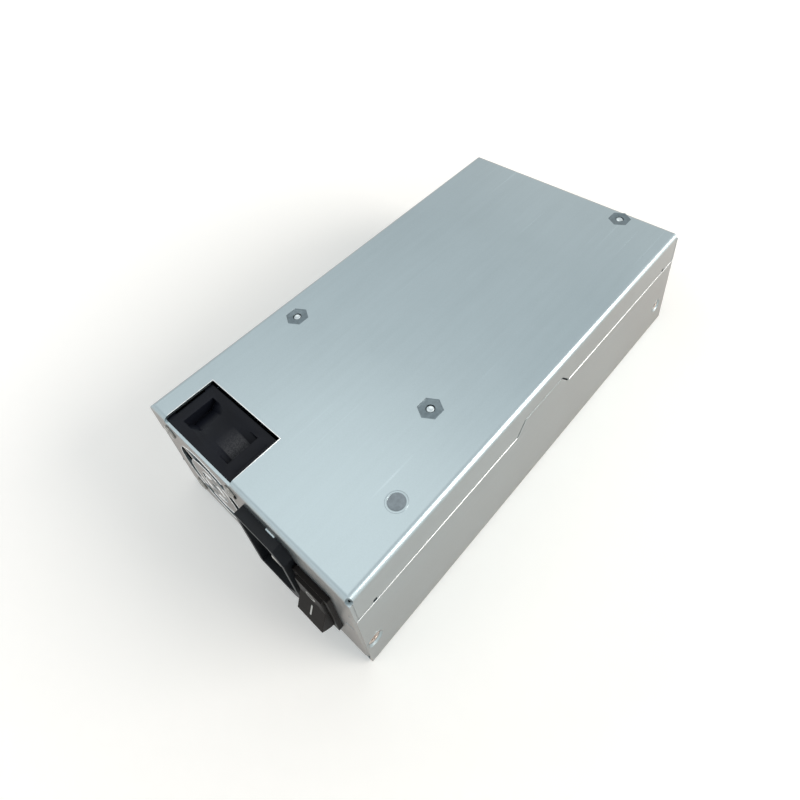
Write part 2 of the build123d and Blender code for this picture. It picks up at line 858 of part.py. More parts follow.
# Rocker switch: housing with a bezel, rocker on two trunnions, and terminals
with BuildPart() as switch_housing:
    with BuildSketch(face_plane):
        with Locations((switch_x, switch_z)):
            RectangleRounded(bezel_width, bezel_height, bezel_round)
    extrude(amount=bezel_proud)
    with BuildSketch(face_plane):
        with Locations((switch_x, switch_z)):
            Rectangle(switch_body_width, switch_body_height)
    extrude(amount=-switch_body_depth)
    with BuildSketch(face_plane.offset(bezel_proud)):
        with Locations((switch_x, switch_z)):
            Rectangle(rocker_width + 2 * rocker_gap, 2 * (rocker_radius + rocker_gap))
    extrude(amount=-bezel_proud - rocker_well_depth, mode=Mode.SUBTRACT)
    with BuildSketch(face_plane):
        with Locations((switch_x, switch_z)):
            Rectangle(rocker_width + 2 * rocker_gap, leg_well_height)
    extrude(amount=-leg_well_depth, mode=Mode.SUBTRACT)
    with Locations(Plane(origin=(switch_x, rocker_y, switch_z), z_dir=(1, 0, 0))):
        Cylinder(
            rocker_pin_radius + rocker_gap / 5,
            rocker_width + 2 * (rocker_pin_length + rocker_gap / 5),
            mode=Mode.SUBTRACT,
        )
switch_housing.part.label = "switch_housing"
export_step(switch_housing.part, "parts/switch_housing.step")

rest_tilt = radians(rocker_throw / 2)
rocker_plane = Plane(
    origin=(switch_x, rocker_y, switch_z),
    x_dir=(0, -cos(rest_tilt), sin(rest_tilt)),
    z_dir=(-1, 0, 0),
)
with BuildPart() as switch_rocker:
    corner_out = rocker_middle + rocker_reach * tan(radians(rocker_dish))
    arc_turn = atan2(corner_out, rocker_reach) / 2
    arc_middle = (rocker_radius * sin(arc_turn), rocker_radius * cos(arc_turn))
    with BuildSketch(rocker_plane):
        with BuildLine():
            Polyline((corner_out, -rocker_reach), (rocker_middle, 0), (corner_out, rocker_reach))
            ThreePointArc((corner_out, rocker_reach), arc_middle, (0, rocker_radius))
            Polyline(
                (0, rocker_radius),
                (-rocker_foot_depth, rocker_foot),
                (-rocker_foot_depth, rocker_leg / 2),
                (-rocker_leg_depth, rocker_leg / 4),
                (-rocker_leg_depth, -rocker_leg / 4),
                (-rocker_foot_depth, -rocker_leg / 2),
                (-rocker_foot_depth, -rocker_foot),
                (0, -rocker_radius),
            )
            ThreePointArc(
                (0, -rocker_radius), (arc_middle[0], -arc_middle[1]), (corner_out, -rocker_reach)
            )
        make_face()
    extrude(amount=rocker_width / 2, both=True)
    with Locations(rocker_plane):
        Cylinder(rocker_pin_radius, rocker_width + 2 * rocker_pin_length)
switch_rocker.part.label = "switch_rocker"
export_step(switch_rocker.part, "parts/switch_rocker.step")

with BuildPart() as switch_terminals:
    for up in (-1, 1):
        terminal_z = switch_z + up * terminal_pitch / 2
        with Locations((switch_x, front_face + switch_body_depth, terminal_z)):
            Box(
                tail_width,
                terminal_length,
                tail_thick,
                align=(Align.CENTER, Align.MIN, Align.CENTER),
            )
switch_terminals.part.label = "switch_terminals"
export_step(switch_terminals.part, "parts/switch_terminals.step")

# Standoffs clinched flush into the plate, and the screws that hold the board to them
with BuildPart() as pcb_standoffs:
    with BuildSketch(Plane.XY.offset(plate_under)):
        with Locations(*standoff_places):
            RegularPolygon(hex_corner(standoff_hex), 6, rotation=30)
    extrude(amount=sheet)
    with BuildSketch(Plane.XY.offset(board_top)):
        with Locations(*standoff_places):
            Circle(standoff_radius)
    extrude(amount=standoff_length)
    with BuildSketch(Plane.XY.offset(board_top)):
        with Locations(*standoff_places):
            Circle(board_screw_radius + screw_gap)
    extrude(amount=standoff_length + sheet, mode=Mode.SUBTRACT)
pcb_standoffs.part.label = "pcb_standoffs"
export_step(pcb_standoffs.part, "parts/pcb_standoffs.step")

with BuildPart() as board_screws:
    board_screw = cross_screw(
        board_screw_head_radius,
        board_screw_head_height,
        board_screw_radius,
        board_thick + standoff_length + sheet - seat_gap,
        False,
    )
    with Locations(*[Plane(origin=(x, y, board_under), z_dir=(0, 0, -1)) for x, y in standoff_places]):
        add(board_screw)
board_screws.part.label = "board_screws"
export_step(board_screws.part, "parts/board_screws.step")

# Earth stud with its nut and ring terminal
with BuildPart() as earth_stud:
    with BuildSketch(Plane.XY.offset(plate_under)):
        with Locations((stud_x, stud_y)):
            Circle(stud_head_radius)
    extrude(amount=sheet)
    with BuildSketch(Plane.XY.offset(plate_under)):
        with Locations((stud_x, stud_y)):
            Circle(stud_radius)
    extrude(amount=-stud_length)
earth_stud.part.label = "earth_stud"
export_step(earth_stud.part, "parts/earth_stud.step")

with BuildPart() as earth_terminal:
    with BuildSketch(Plane.XY.offset(plate_under - ring_thick)):
        with Locations((stud_x, stud_y)):
            Circle(ring_radius)
            with Locations((-(ring_radius + ring_tail) / 2, 0)):
                Rectangle(ring_radius + ring_tail, ring_tail_width)
            Circle(stud_radius + screw_gap, mode=Mode.SUBTRACT)
    extrude(amount=ring_thick)
earth_terminal.part.label = "earth_terminal"
export_step(earth_terminal.part, "parts/earth_terminal.step")

with BuildPart() as earth_nut:
    with BuildSketch(Plane.XY.offset(plate_under - ring_thick)):
        with Locations((stud_x, stud_y)):
            RegularPolygon(hex_corner(earth_nut_hex), 6)
            Circle(stud_radius + screw_gap, mode=Mode.SUBTRACT)
    extrude(amount=-earth_nut_height)
earth_nut.part.label = "earth_nut"
export_step(earth_nut.part, "parts/earth_nut.step")

# Insulating film under the plate, over the board
with BuildPart() as insulating_sheet:
    with BuildSketch(Plane.XY.offset(plate_under)):
        with Locations((0, (board_front + board_rear) / 2)):
            Rectangle(board_width, board_rear - board_front)
        with Locations(*standoff_places):
            Circle(standoff_radius + film_gap, mode=Mode.SUBTRACT)
    extrude(amount=-film_thick)
insulating_sheet.part.label = "insulating_sheet"
export_step(insulating_sheet.part, "parts/insulating_sheet.step")

# Main circuit board
with BuildPart() as main_board:
    with BuildSketch(Plane.XY.offset(board_under)):
        with Locations((0, (board_front + board_rear) / 2)):
            Rectangle(board_width, board_rear - board_front)
        with Locations(*standoff_places):
            Circle(board_screw_radius + screw_gap, mode=Mode.SUBTRACT)
    extrude(amount=board_thick)
main_board.part.label = "main_board"
export_step(main_board.part, "parts/main_board.step")

# Fuse: a glass tube with two end caps, one solid, lying on its caps
with BuildPart() as line_fuse:
    fuse_plane = Plane(
        origin=(*on_board(fuse_share), board_under - fuse_radius), z_dir=(0, 1, 0)
    )
    with BuildSketch(fuse_plane):
        Circle(fuse_glass_radius)
    extrude(amount=fuse_length / 2, both=True)
    with BuildSketch(
        fuse_plane.offset(-fuse_length / 2), fuse_plane.offset(fuse_length / 2 - fuse_cap)
    ):
        Circle(fuse_radius)
    extrude(amount=fuse_cap)
line_fuse.part.label = "line_fuse"
export_step(line_fuse.part, "parts/line_fuse.step")

# Mains filter capacitors
with BuildPart() as x_capacitor:
    hang(on_board(x_capacitor_share), x_capacitor_size)
    fillet(x_capacitor.edges().filter_by(Axis.Z), x_capacitor_round)
x_capacitor.part.label = "x_capacitor"
export_step(x_capacitor.part, "parts/x_capacitor.step")

with BuildPart() as y_capacitors:
    for x, y in map(on_board, y_capacitor_shares):
        disc_plane = Plane(
            origin=(x, y, board_under - y_capacitor_radius - seat_gap), z_dir=(0, 1, 0)
        )
        with BuildSketch(disc_plane):
            Circle(y_capacitor_radius)
        extrude(amount=y_capacitor_thick / 2, both=True)
        with Locations((x - y_lead_spread, y, board_under), (x + y_lead_spread, y, board_under)):
            Cylinder(
                lead_radius,
                y_capacitor_radius + seat_gap,
                align=(Align.CENTER, Align.CENTER, Align.MAX),
            )
y_capacitors.part.label = "y_capacitors"
export_step(y_capacitors.part, "parts/y_capacitors.step")


def ring_core(place, outer, inner, height, drop):
    """A ring core that lies below the board, under the top of its winding."""
    with Locations((place[0], place[1], board_under - drop)):
        Cylinder(outer, height, align=(Align.CENTER, Align.CENTER, Align.MAX))
        Cylinder(inner, height, align=(Align.CENTER, Align.CENTER, Align.MAX), mode=Mode.SUBTRACT)


def ring_winding(place, outer, inner, height, build, turns):
    """Sleeves of wire around a ring core: each starts at an angle and sweeps another."""
    middle = board_under - build - height / 2
    axis = Axis((place[0], place[1], middle), (0, 0, 1))
    for start, sweep_angle in turns:
        turn = radians(start)
        section = Plane(
            origin=(place[0], place[1], middle),
            x_dir=(cos(turn), sin(turn), 0),
            z_dir=(sin(turn), -cos(turn), 0),
        )
        with BuildSketch(section) as wire_section:
            with Locations(((outer + inner) / 2, 0)):
                RectangleRounded(
                    outer - inner + 2 * build, height + 2 * build, build * winding_corner_share
                )
                Rectangle(outer - inner, height, mode=Mode.SUBTRACT)
        revolve(wire_section.sketch, axis=axis, revolution_arc=sweep_angle)


# Common-mode choke on its ring core
with BuildPart() as filter_choke_core:
    ring_core(on_board(choke_share), choke_outer, choke_inner, choke_height, choke_winding)
filter_choke_core.part.label = "filter_choke_core"
export_step(filter_choke_core.part, "parts/filter_choke_core.step")

with BuildPart() as filter_choke_windings:
    ring_winding(
        on_board(choke_share),
        choke_outer,
        choke_inner,
        choke_height,
        choke_winding,
        [(half * 180 - choke_winding_angle / 2, choke_winding_angle) for half in (0, 1)],
    )
filter_choke_windings.part.label = "filter_choke_windings"
export_step(filter_choke_windings.part, "parts/filter_choke_windings.step")

# Bridge rectifier, standing on four leads
with BuildPart() as bridge_rectifier:
    bridge_place = on_board(bridge_share)
    hang(bridge_place, bridge_size, bridge_lead[2])
    upper_corner = bridge_rectifier.edges().filter_by(Axis.X).group_by(Axis.Y)[-1].sort_by(Axis.Z)[-1]
    chamfer(upper_corner, bridge_corner)
    with Locations((*bridge_place, board_under)):
        with GridLocations(1, bridge_size[1] / bridge_lead_count, 1, bridge_lead_count):
            Box(*bridge_lead, align=(Align.CENTER, Align.CENTER, Align.MAX))
bridge_rectifier.part.label = "bridge_rectifier"
export_step(bridge_rectifier.part, "parts/bridge_rectifier.step")

# Bulk capacitor, lying along the board
with BuildPart() as bulk_capacitor:
    bulk_plane = Plane(
        origin=(*on_board(bulk_share), board_under - bulk_radius - seat_gap), z_dir=(0, 1, 0)
    )
    bulk_length = bulk_length_share * board_length
    with BuildSketch(bulk_plane):
        Circle(bulk_radius)
    extrude(amount=bulk_length / 2, both=True)
    fillet(bulk_capacitor.edges().filter_by(GeomType.CIRCLE), bulk_round)
    # Crimped groove near the rubber end
    with BuildSketch(bulk_plane.offset(bulk_length / 2 - bulk_groove_inset)):
        Circle(bulk_radius + cut_over)
        Circle(bulk_radius - bulk_groove_depth, mode=Mode.SUBTRACT)
    extrude(amount=bulk_groove_width, mode=Mode.SUBTRACT)
bulk_capacitor.part.label = "bulk_capacitor"
export_step(bulk_capacitor.part, "parts/bulk_capacitor.step")


def heat_sink(place, length):
    """A standing aluminium plate below the board, with its lower edge folded over."""
    hang(place, (sink_thick, length, sink_height))
    with Locations((*place, board_under - sink_height)):
        Box(sink_fold, length, sink_thick, align=(Align.MAX, Align.CENTER, Align.MIN))


def tab_device(x, y):
    """A power device on the side of a heat sink: a metal tab, a moulded body and three leads."""
    deep, long, tall = device_size
    with Locations((x, y, board_under - device_lead[2])):
        Box(device_tab_thick, long, tall, align=(Align.MIN, Align.CENTER, Align.MAX))
        Box(deep, long, tall * device_body_share, align=(Align.MIN, Align.CENTER, Align.MAX))
    with Locations((x + deep / 2, y, board_under)):
        with GridLocations(1, lead_pitch, 1, 3):
            Box(*device_lead, align=(Align.CENTER, Align.CENTER, Align.MAX))


# Primary heat sink and its transistors
with BuildPart() as primary_heatsink:
    heat_sink(on_board(primary_sink_share), primary_sink_length_share * board_length)
primary_heatsink.part.label = "primary_heatsink"
export_step(primary_heatsink.part, "parts/primary_heatsink.step")

with BuildPart() as primary_transistors:
    for place in transistor_shares:
        x, y = on_board((primary_sink_share[0], place))
        tab_device(x + sink_thick / 2, y)
primary_transistors.part.label = "primary_transistors"
export_step(primary_transistors.part, "parts/primary_transistors.step")


def window_core(place, size, leg):
    """A closed ferrite core with a middle leg, its two windows open along the board."""
    hang(place, (size[0], size[1] * core_depth_share, size[2] - leg / 2), leg / 2)
    opening = (size[0] - 2 * leg) / 2
    for side in (-1, 1):
        with Locations((place[0] + side * (leg + opening) / 2, place[1], board_under - leg)):
            Box(
                opening,
                size[1],
                size[2] - leg - leg / 2,
                align=(Align.CENTER, Align.CENTER, Align.MAX),
                mode=Mode.SUBTRACT,
            )


def window_winding(place, size, leg):
    """The wound bobbin round the middle leg of a window core, on two feet."""
    top = leg + winding_gap
    tall = size[2] - leg - leg / 2 - 2 * winding_gap
    with BuildSketch(Plane.XY.offset(board_under - top)) as coil:
        with Locations(place):
            RectangleRounded(size[0] - leg - 2 * winding_gap, size[1], coil_round)
            Rectangle(
                leg + 2 * winding_gap,
                size[1] * core_depth_share + 2 * winding_gap,
                mode=Mode.SUBTRACT,
            )
    extrude(coil.sketch, amount=-tall)
    foot_y = (size[1] - bobbin_foot_thick) / 2
    with Locations((place[0], place[1], board_under)):
        with GridLocations(1, 2 * foot_y, 1, 2):
            Box(
                size[0] * bobbin_foot_share,
                bobbin_foot_thick,
                top,
                align=(Align.CENTER, Align.CENTER, Align.MAX),
            )


# Main transformer
with BuildPart() as transformer_core:
    window_core(on_board(transformer_share), transformer_size, transformer_leg)
transformer_core.part.label = "transformer_core"
export_step(transformer_core.part, "parts/transformer_core.step")

with BuildPart() as transformer_winding:
    window_winding(on_board(transformer_share), transformer_size, transformer_leg)
transformer_winding.part.label = "transformer_winding"
export_step(transformer_winding.part, "parts/transformer_winding.step")

# Standby transformer
with BuildPart() as standby_core:
    window_core(on_board(standby_share), standby_size, standby_leg)
standby_core.part.label = "standby_core"
export_step(standby_core.part, "parts/standby_core.step")

with BuildPart() as standby_winding:
    window_winding(on_board(standby_share), standby_size, standby_leg)
standby_winding.part.label = "standby_winding"
export_step(standby_winding.part, "parts/standby_winding.step")

# Secondary heat sink and its rectifier diodes
with BuildPart() as secondary_heatsink:
    heat_sink(on_board(secondary_sink_share), secondary_sink_length_share * board_length)
secondary_heatsink.part.label = "secondary_heatsink"
export_step(secondary_heatsink.part, "parts/secondary_heatsink.step")

with BuildPart() as rectifier_diodes:
    for place in diode_shares:
        x, y = on_board((secondary_sink_share[0], place))
        tab_device(x + sink_thick / 2, y)
rectifier_diodes.part.label = "rectifier_diodes"
export_step(rectifier_diodes.part, "parts/rectifier_diodes.step")

# Output choke
with BuildPart() as output_choke_core:
    ring_core(
        on_board(output_choke_share),
        output_choke_outer,
        output_choke_inner,
        output_choke_height,
        choke_winding,
    )
output_choke_core.part.label = "output_choke_core"
export_step(output_choke_core.part, "parts/output_choke_core.step")

with BuildPart() as output_choke_winding:
    ring_winding(
        on_board(output_choke_share),
        output_choke_outer,
        output_choke_inner,
        output_choke_height,
        choke_winding,
        [(output_winding_start, output_winding_angle)],
    )
output_choke_winding.part.label = "output_choke_winding"
export_step(output_choke_winding.part, "parts/output_choke_winding.step")

# Output capacitors
with BuildPart() as output_capacitors:
    with Locations(*[(*on_board(shares), board_under) for shares in capacitor_shares]):
        Cylinder(
            capacitor_radius, capacitor_height, align=(Align.CENTER, Align.CENTER, Align.MAX)
        )
    fillet(output_capacitors.edges().filter_by(GeomType.CIRCLE).group_by(Axis.Z)[0], capacitor_round)
output_capacitors.part.label = "output_capacitors"
export_step(output_capacitors.part, "parts/output_capacitors.step")

# Upright control board with its chips on one face
with BuildPart() as controller_board:
    controller_place = on_board(controller_share)
    hang(controller_place, controller_size)
    chip_x = controller_place[0] - controller_size[0] / 2
    with Locations((chip_x, controller_place[1], board_under - controller_size[2] / 2)):
        with GridLocations(1, controller_size[1] / 2, 1, 2):
            Box(*chip_size, align=(Align.MAX, Align.CENTER, Align.CENTER))
controller_board.part.label = "controller_board"
export_step(controller_board.part, "parts/controller_board.step")

# Header for the fan's lead
with BuildPart() as fan_header:
    fan_header_place = on_board(fan_header_share)
    hang(fan_header_place, fan_header_size)
    with Locations((*fan_header_place, board_under - fan_header_size[2])):
        Box(
            fan_header_size[0] - 2 * header_wall,
            fan_header_size[1] - 2 * header_wall,
            header_depth,
            align=(Align.CENTER, Align.CENTER, Align.MIN),
            mode=Mode.SUBTRACT,
        )
        with GridLocations(lead_pitch, 1, 2, 1):
            Box(
                header_pin,
                header_pin,
                header_pin_length,
                align=(Align.CENTER, Align.CENTER, Align.MIN),
            )
fan_header.part.label = "fan_header"
export_step(fan_header.part, "parts/fan_header.step")

# Cable bush in the rear wall: a collar with a lip on each side of the sheet
with BuildPart() as cable_bush:
    inner_lip = outlet_radius + bush_lip / 2
    bush_back = sheet + 2 * bush_gap + bush_lip_thick
    with BuildSketch(rear_plane.offset(bush_gap)):
        with Locations((-outlet_x, outlet_z)):
            Circle(outlet_radius + bush_lip)
    extrude(amount=bush_lip_thick)
    fillet(cable_bush.edges().filter_by(GeomType.CIRCLE).group_by(Axis.Y)[-1], bush_lip_thick / 2)
    with BuildSketch(rear_plane.offset(bush_gap)):
        with Locations((-outlet_x, outlet_z)):
            Circle(outlet_radius - bush_gap)
    extrude(amount=-sheet - 2 * bush_gap)
    with BuildSketch(rear_plane.offset(-sheet - bush_gap)):
        with Locations((-outlet_x, outlet_z)):
            Circle(inner_lip)
    extrude(amount=-bush_lip_thick)
    with BuildSketch(rear_plane.offset(bush_gap + bush_lip_thick)):
        with Locations((-outlet_x, outlet_z)):
            Circle(outlet_radius - bush_wall)
    extrude(amount=-bush_back - bush_gap - bush_lip_thick, mode=Mode.SUBTRACT)
cable_bush.part.label = "cable_bush"
export_step(cable_bush.part, "parts/cable_bush.step")
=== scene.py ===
import math

import bmesh
import bpy
from mathutils import Matrix, Vector


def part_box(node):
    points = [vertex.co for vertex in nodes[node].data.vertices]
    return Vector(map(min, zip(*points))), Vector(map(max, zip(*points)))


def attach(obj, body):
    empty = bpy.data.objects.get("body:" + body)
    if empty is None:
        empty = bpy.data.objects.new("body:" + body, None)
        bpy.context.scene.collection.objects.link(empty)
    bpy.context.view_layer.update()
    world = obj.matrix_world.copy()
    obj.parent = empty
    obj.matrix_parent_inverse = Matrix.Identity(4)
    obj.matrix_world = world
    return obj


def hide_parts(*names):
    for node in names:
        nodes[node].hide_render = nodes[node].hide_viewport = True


# Looks of a flex power supply: folded zinc-coated case, side-on fan, mains inlet and rocker switch.
# Metres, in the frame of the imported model: -Y is the end with the fan, +Z is up.

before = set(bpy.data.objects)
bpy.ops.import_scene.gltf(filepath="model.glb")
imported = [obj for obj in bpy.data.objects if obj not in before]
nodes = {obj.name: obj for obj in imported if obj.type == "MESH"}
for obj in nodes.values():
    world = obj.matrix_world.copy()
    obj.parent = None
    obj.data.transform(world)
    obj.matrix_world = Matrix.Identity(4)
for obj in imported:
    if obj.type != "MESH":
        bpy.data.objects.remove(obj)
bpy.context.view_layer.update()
print("stage: frame loaded,", len(nodes), "nodes")

# sizes that several pieces share
caseSize = {"side": 0.04075, "wall": 0.075, "top": 0.0405}
fanCentre = (-0.01865, -0.075, 0.02025)  # on the end wall's outer face

# camera
cameraSet = {
    "place": (0.095197, -0.094887, 0.183026),
    "turn": (46.2438, 6.101, 42.8139),  # degrees, XYZ
    "lens": 29.141,
    "sensor": 36,
    "shiftUp": -0.15,
    "clip": (0.005, 20),
}
cameraData = bpy.data.cameras.new("photoCamera")
cameraData.sensor_width = cameraSet["sensor"]
cameraData.lens = cameraSet["lens"]
cameraData.shift_y = cameraSet["shiftUp"]
cameraData.clip_start, cameraData.clip_end = cameraSet["clip"]
camera = bpy.data.objects.new("photoCamera", cameraData)
bpy.context.scene.collection.objects.link(camera)
camera.location = cameraSet["place"]
camera.rotation_euler = [math.radians(angle) for angle in cameraSet["turn"]]
bpy.context.scene.camera = camera
print("stage: camera set")


# small helpers for shaders
class Flow:
    # one output socket, with sums written as plain Python
    def __init__(self, made, socket):
        self.made = made
        self.socket = socket

    def sums(self, operation, first, second=None, clamp=False):
        values = {0: first} if second is None else {0: first, 1: second}
        return self.made.add("ShaderNodeMath", {"operation": operation, "use_clamp": clamp}, values)

    def __add__(self, other):
        return self.sums("ADD", self, other)

    def __sub__(self, other):
        return self.sums("SUBTRACT", self, other)

    def __rsub__(self, other):
        return self.sums("SUBTRACT", other, self)

    def __mul__(self, other):
        return self.sums("MULTIPLY", self, other)

    __radd__ = __add__
    __rmul__ = __mul__

    def wave(self):
        return self.sums("SINE", self)

    def size(self):
        return self.sums("ABSOLUTE", self)

    def step(self, low, high):  # 0 below low, 1 above high, straight between
        return self.sums("MULTIPLY", self - low, 1 / (high - low), clamp=True)


class Nodes:
    # the nodes of a material or of the world, added one by one
    def __init__(self, tree):
        self.tree = tree

    def add(self, kind, settings, values, out=0):
        node = self.tree.nodes.new(kind)
        for key, value in settings.items():
            setattr(node, key, value)
        for key, value in values.items():
            if isinstance(value, Flow):
                self.tree.links.new(value.socket, node.inputs[key])
            else:
                node.inputs[key].default_value = value
        return Flow(self, node.outputs[out])

    def mixed(self, share, first, second):
        return self.add("ShaderNodeMix", {"data_type": "RGBA"}, {0: share, 6: first, 7: second}, 2)


class Finish(Nodes):
    # a material made round one shader
    def __init__(self, name, fixed):
        self.material = bpy.data.materials.new(name)
        self.material.use_nodes = True
        super().__init__(self.material.node_tree)
        self.shader = self.tree.nodes["Principled BSDF"]
        for socketName, value in fixed.items():
            self.shader.inputs[socketName].default_value = value
        self.place = self.add("ShaderNodeTexCoord", {}, {}, "Object")

    def moved(self, centre=(0, 0, 0), turn=(0, 0, 0), scale=(1, 1, 1)):
        shifted = self.add("ShaderNodeVectorMath", {"operation": "SUBTRACT"}, {0: self.place, 1: centre})
        turned = [math.radians(angle) for angle in turn]
        return self.add("ShaderNodeMapping", {}, {"Vector": shifted, "Rotation": turned, "Scale": scale})

    def noise(self, scale, detail, roughness, at=None):
        values = {"Vector": at or self.place, "Scale": scale, "Detail": detail, "Roughness": roughness}
        return self.add("ShaderNodeTexNoise", {}, values)

    def cells(self, scale, feature="F1"):
        values = {"Vector": self.place, "Scale": scale}
        return self.add("ShaderNodeTexVoronoi", {"feature": feature}, values, "Distance")

    def axes(self, at=None):
        node = self.add("ShaderNodeSeparateXYZ", {}, {0: at or self.place}).socket.node
        return [Flow(self, output) for output in node.outputs]

    def toned(self, share, colour, low, high):  # from one tone of a colour to another
        return self.mixed(share, shade(colour, low), shade(colour, high))

    def bumped(self, height, strength, distance, edge=None):  # edge: sharp edges catch the light as if round
        values = {"Height": height, "Strength": strength, "Distance": distance}
        if edge:
            values["Normal"] = self.add("ShaderNodeBevel", {"samples": 6}, {"Radius": edge})
        return self.add("ShaderNodeBump", {}, values)

    def feed(self, **flows):
        names = {"colour": "Base Color", "roughness": "Roughness", "metallic": "Metallic", "normal": "Normal"}
        for key, flow in flows.items():
            self.tree.links.new(flow.socket, self.shader.inputs[names[key]])
        return self.material


def shade(rgb, factor=1.0):
    return tuple(min(1.0, channel * factor) for channel in rgb) + (1.0,)


# finishes, kind by kind; a band is where a pattern fades in, tones are factors on the colour
finishes = {}


def addFinishes(makeFinish, looks):
    for name, look in looks.items():
        finishes[name] = makeFinish(name, look)


def steelFinish(name, look):
    # zinc-coated sheet: faint clouding, rolling streaks along the case, fine grain and hair scratches, and a
    # painted reflection, dull and warm, where the sheet is seen edge on
    made = Finish(name, {"Metallic": 1.0, "Specular Tint": shade(look["paintedGrazingReflection"])})
    clouds = made.noise(look["cloudScale"], 4, 0.55)
    along = made.moved(scale=(1, look["streakStretch"], 1))
    streaks = made.noise(look["streakScale"], 5, 0.6, along)
    grain = made.noise(look["grainScale"], 2, 0.7)
    hairAt = made.moved(turn=(0, 0, look["hairTurn"]), scale=(1, look["hairStretch"], 1))
    hair = made.noise(look["hairScale"], 1, 0.3, hairAt)
    scratch = hair.step(*look["hairBand"]) * clouds.step(*look["hairClouds"])
    wear = clouds.step(*look["cloudBand"]) * look["cloudShare"]
    wear = wear + streaks.step(*look["streakBand"]) * (1 - look["cloudShare"])
    colour = made.toned(wear, look["colour"], *look["wearTones"])
    sparkle = grain.step(*look["grainBand"]) * look["grainShare"]
    colour = made.mixed(sparkle, colour, shade(look["colour"], look["grainTone"]))
    colour = made.mixed(scratch * look["hairShare"], colour, shade(look["colour"], look["hairTone"]))
    rough = look["roughness"] + (wear - 0.5) * look["wearRough"]
    rough = rough + (grain - 0.5) * look["grainRough"] - scratch * look["hairRough"]
    height = grain * look["grainHeight"] + streaks * look["streakHeight"] - scratch * look["hairDepth"]
    normal = made.bumped(height, look["bump"], look["bumpDepth"], look["edge"])
    return made.feed(colour=colour, roughness=rough, normal=normal)


steelLook = {
    "colour": (0.375, 0.44, 0.465),
    "paintedGrazingReflection": (0.84, 0.71, 0.65),  # painted reflection: dull and warm where the sheet is seen edge on
    "roughness": 0.32,
    "cloudScale": 22,
    "cloudBand": (0.32, 0.72),
    "cloudShare": 0.6,
    "streakScale": 420,
    "streakStretch": 0.06,
    "streakBand": (0.3, 0.7),
    "streakHeight": 0.5,
    "wearTones": (0.93, 1.05),
    "wearRough": 0.06,
    "grainScale": 5200,
    "grainBand": (0.35, 0.75),
    "grainShare": 0.35,
    "grainTone": 1.22,
    "grainRough": 0.08,
    "grainHeight": 0.7,
    "hairScale": 900,
    "hairStretch": 0.02,
    "hairTurn": 31,  # degrees
    "hairBand": (0.70, 0.74),
    "hairClouds": (0.5, 0.62),  # scratches show only where the clouds are pale
    "hairShare": 0.25,
    "hairTone": 1.3,
    "hairRough": 0.05,
    "hairDepth": 0.4,
    "bump": 0.12,
    "bumpDepth": 0.00002,
    "edge": 0.00012,
}
addFinishes(steelFinish, {
    "galvanised_steel": steelLook,
    "heatsink_aluminium": {**steelLook, "colour": (0.68, 0.69, 0.7), "streakScale": 900, "roughness": 0.4},
})


screwPattern = {
    "stainScale": 900, "stainBand": (0.35, 0.7), "stainRough": 0.18, "stainHeight": 0.5,
    "grainScale": 9000, "grainRough": 0.1, "tones": (0.82, 1.08), "bump": 0.25, "bumpDepth": 0.00002,
}


def screwFinish(name, look, pattern=screwPattern):
    # plated turned steel: small stains and the fine grain that the tool leaves
    made = Finish(name, {"Metallic": 1.0})
    stain = made.noise(pattern["stainScale"], 4, 0.6)
    grain = made.noise(pattern["grainScale"], 2, 0.6)
    colour = made.toned(stain.step(*pattern["stainBand"]), look["colour"], *pattern["tones"])
    rough = look["roughness"] + (stain - 0.5) * pattern["stainRough"] + (grain - 0.5) * pattern["grainRough"]
    height = grain + stain * pattern["stainHeight"]
    normal = made.bumped(height, pattern["bump"], pattern["bumpDepth"], look["edge"])
    return made.feed(colour=colour, roughness=rough, normal=normal)


addFinishes(screwFinish, {
    "zinc_screw": {"colour": (0.52, 0.49, 0.45), "roughness": 0.22, "edge": 0.00008},
    "plated_contact": {"colour": (0.56, 0.55, 0.52), "roughness": 0.2, "edge": 0.0001},
    # bare steel of cut edges, made pale so that it also paints a highlight along them
    "cut_edge_painted_highlight": {"colour": (0.85, 0.86, 0.86), "roughness": 0.3, "edge": 0.00004},
    "clinched_steel": {"colour": (0.175, 0.215, 0.235), "roughness": 0.38, "edge": 0.00008},
    "stud_steel": {"colour": (0.195, 0.225, 0.245), "roughness": 0.38, "edge": 0.00008},
    "screw_end_steel": {"colour": (0.6, 0.66, 0.68), "roughness": 0.24, "edge": 0.0001},
    "cover_screw_steel": {"colour": (0.5, 0.42, 0.37), "roughness": 0.17, "edge": 0.0001},
    # fan screws: the same zinc, darkened as painted shade
    "fan_screw_steel": {"colour": (0.3, 0.29, 0.27), "roughness": 0.16, "edge": 0.0001},
})


mouldedPattern = {
    "gloss": 0.5,  # where a look has none of its own
    "patchScale": 140, "patchBand": (0.3, 0.7), "tones": (0.8, 1.2), "patchRough": 0.08,
    "speckBand": (0.05, 0.16), "speckPatches": (0.42, 0.66), "sparkRough": 0.22, "bumpDepth": 0.00004,
    "dustAndSheenBand": (0.42, 0.6), "dustAndSheenFloor": 0.4,
}


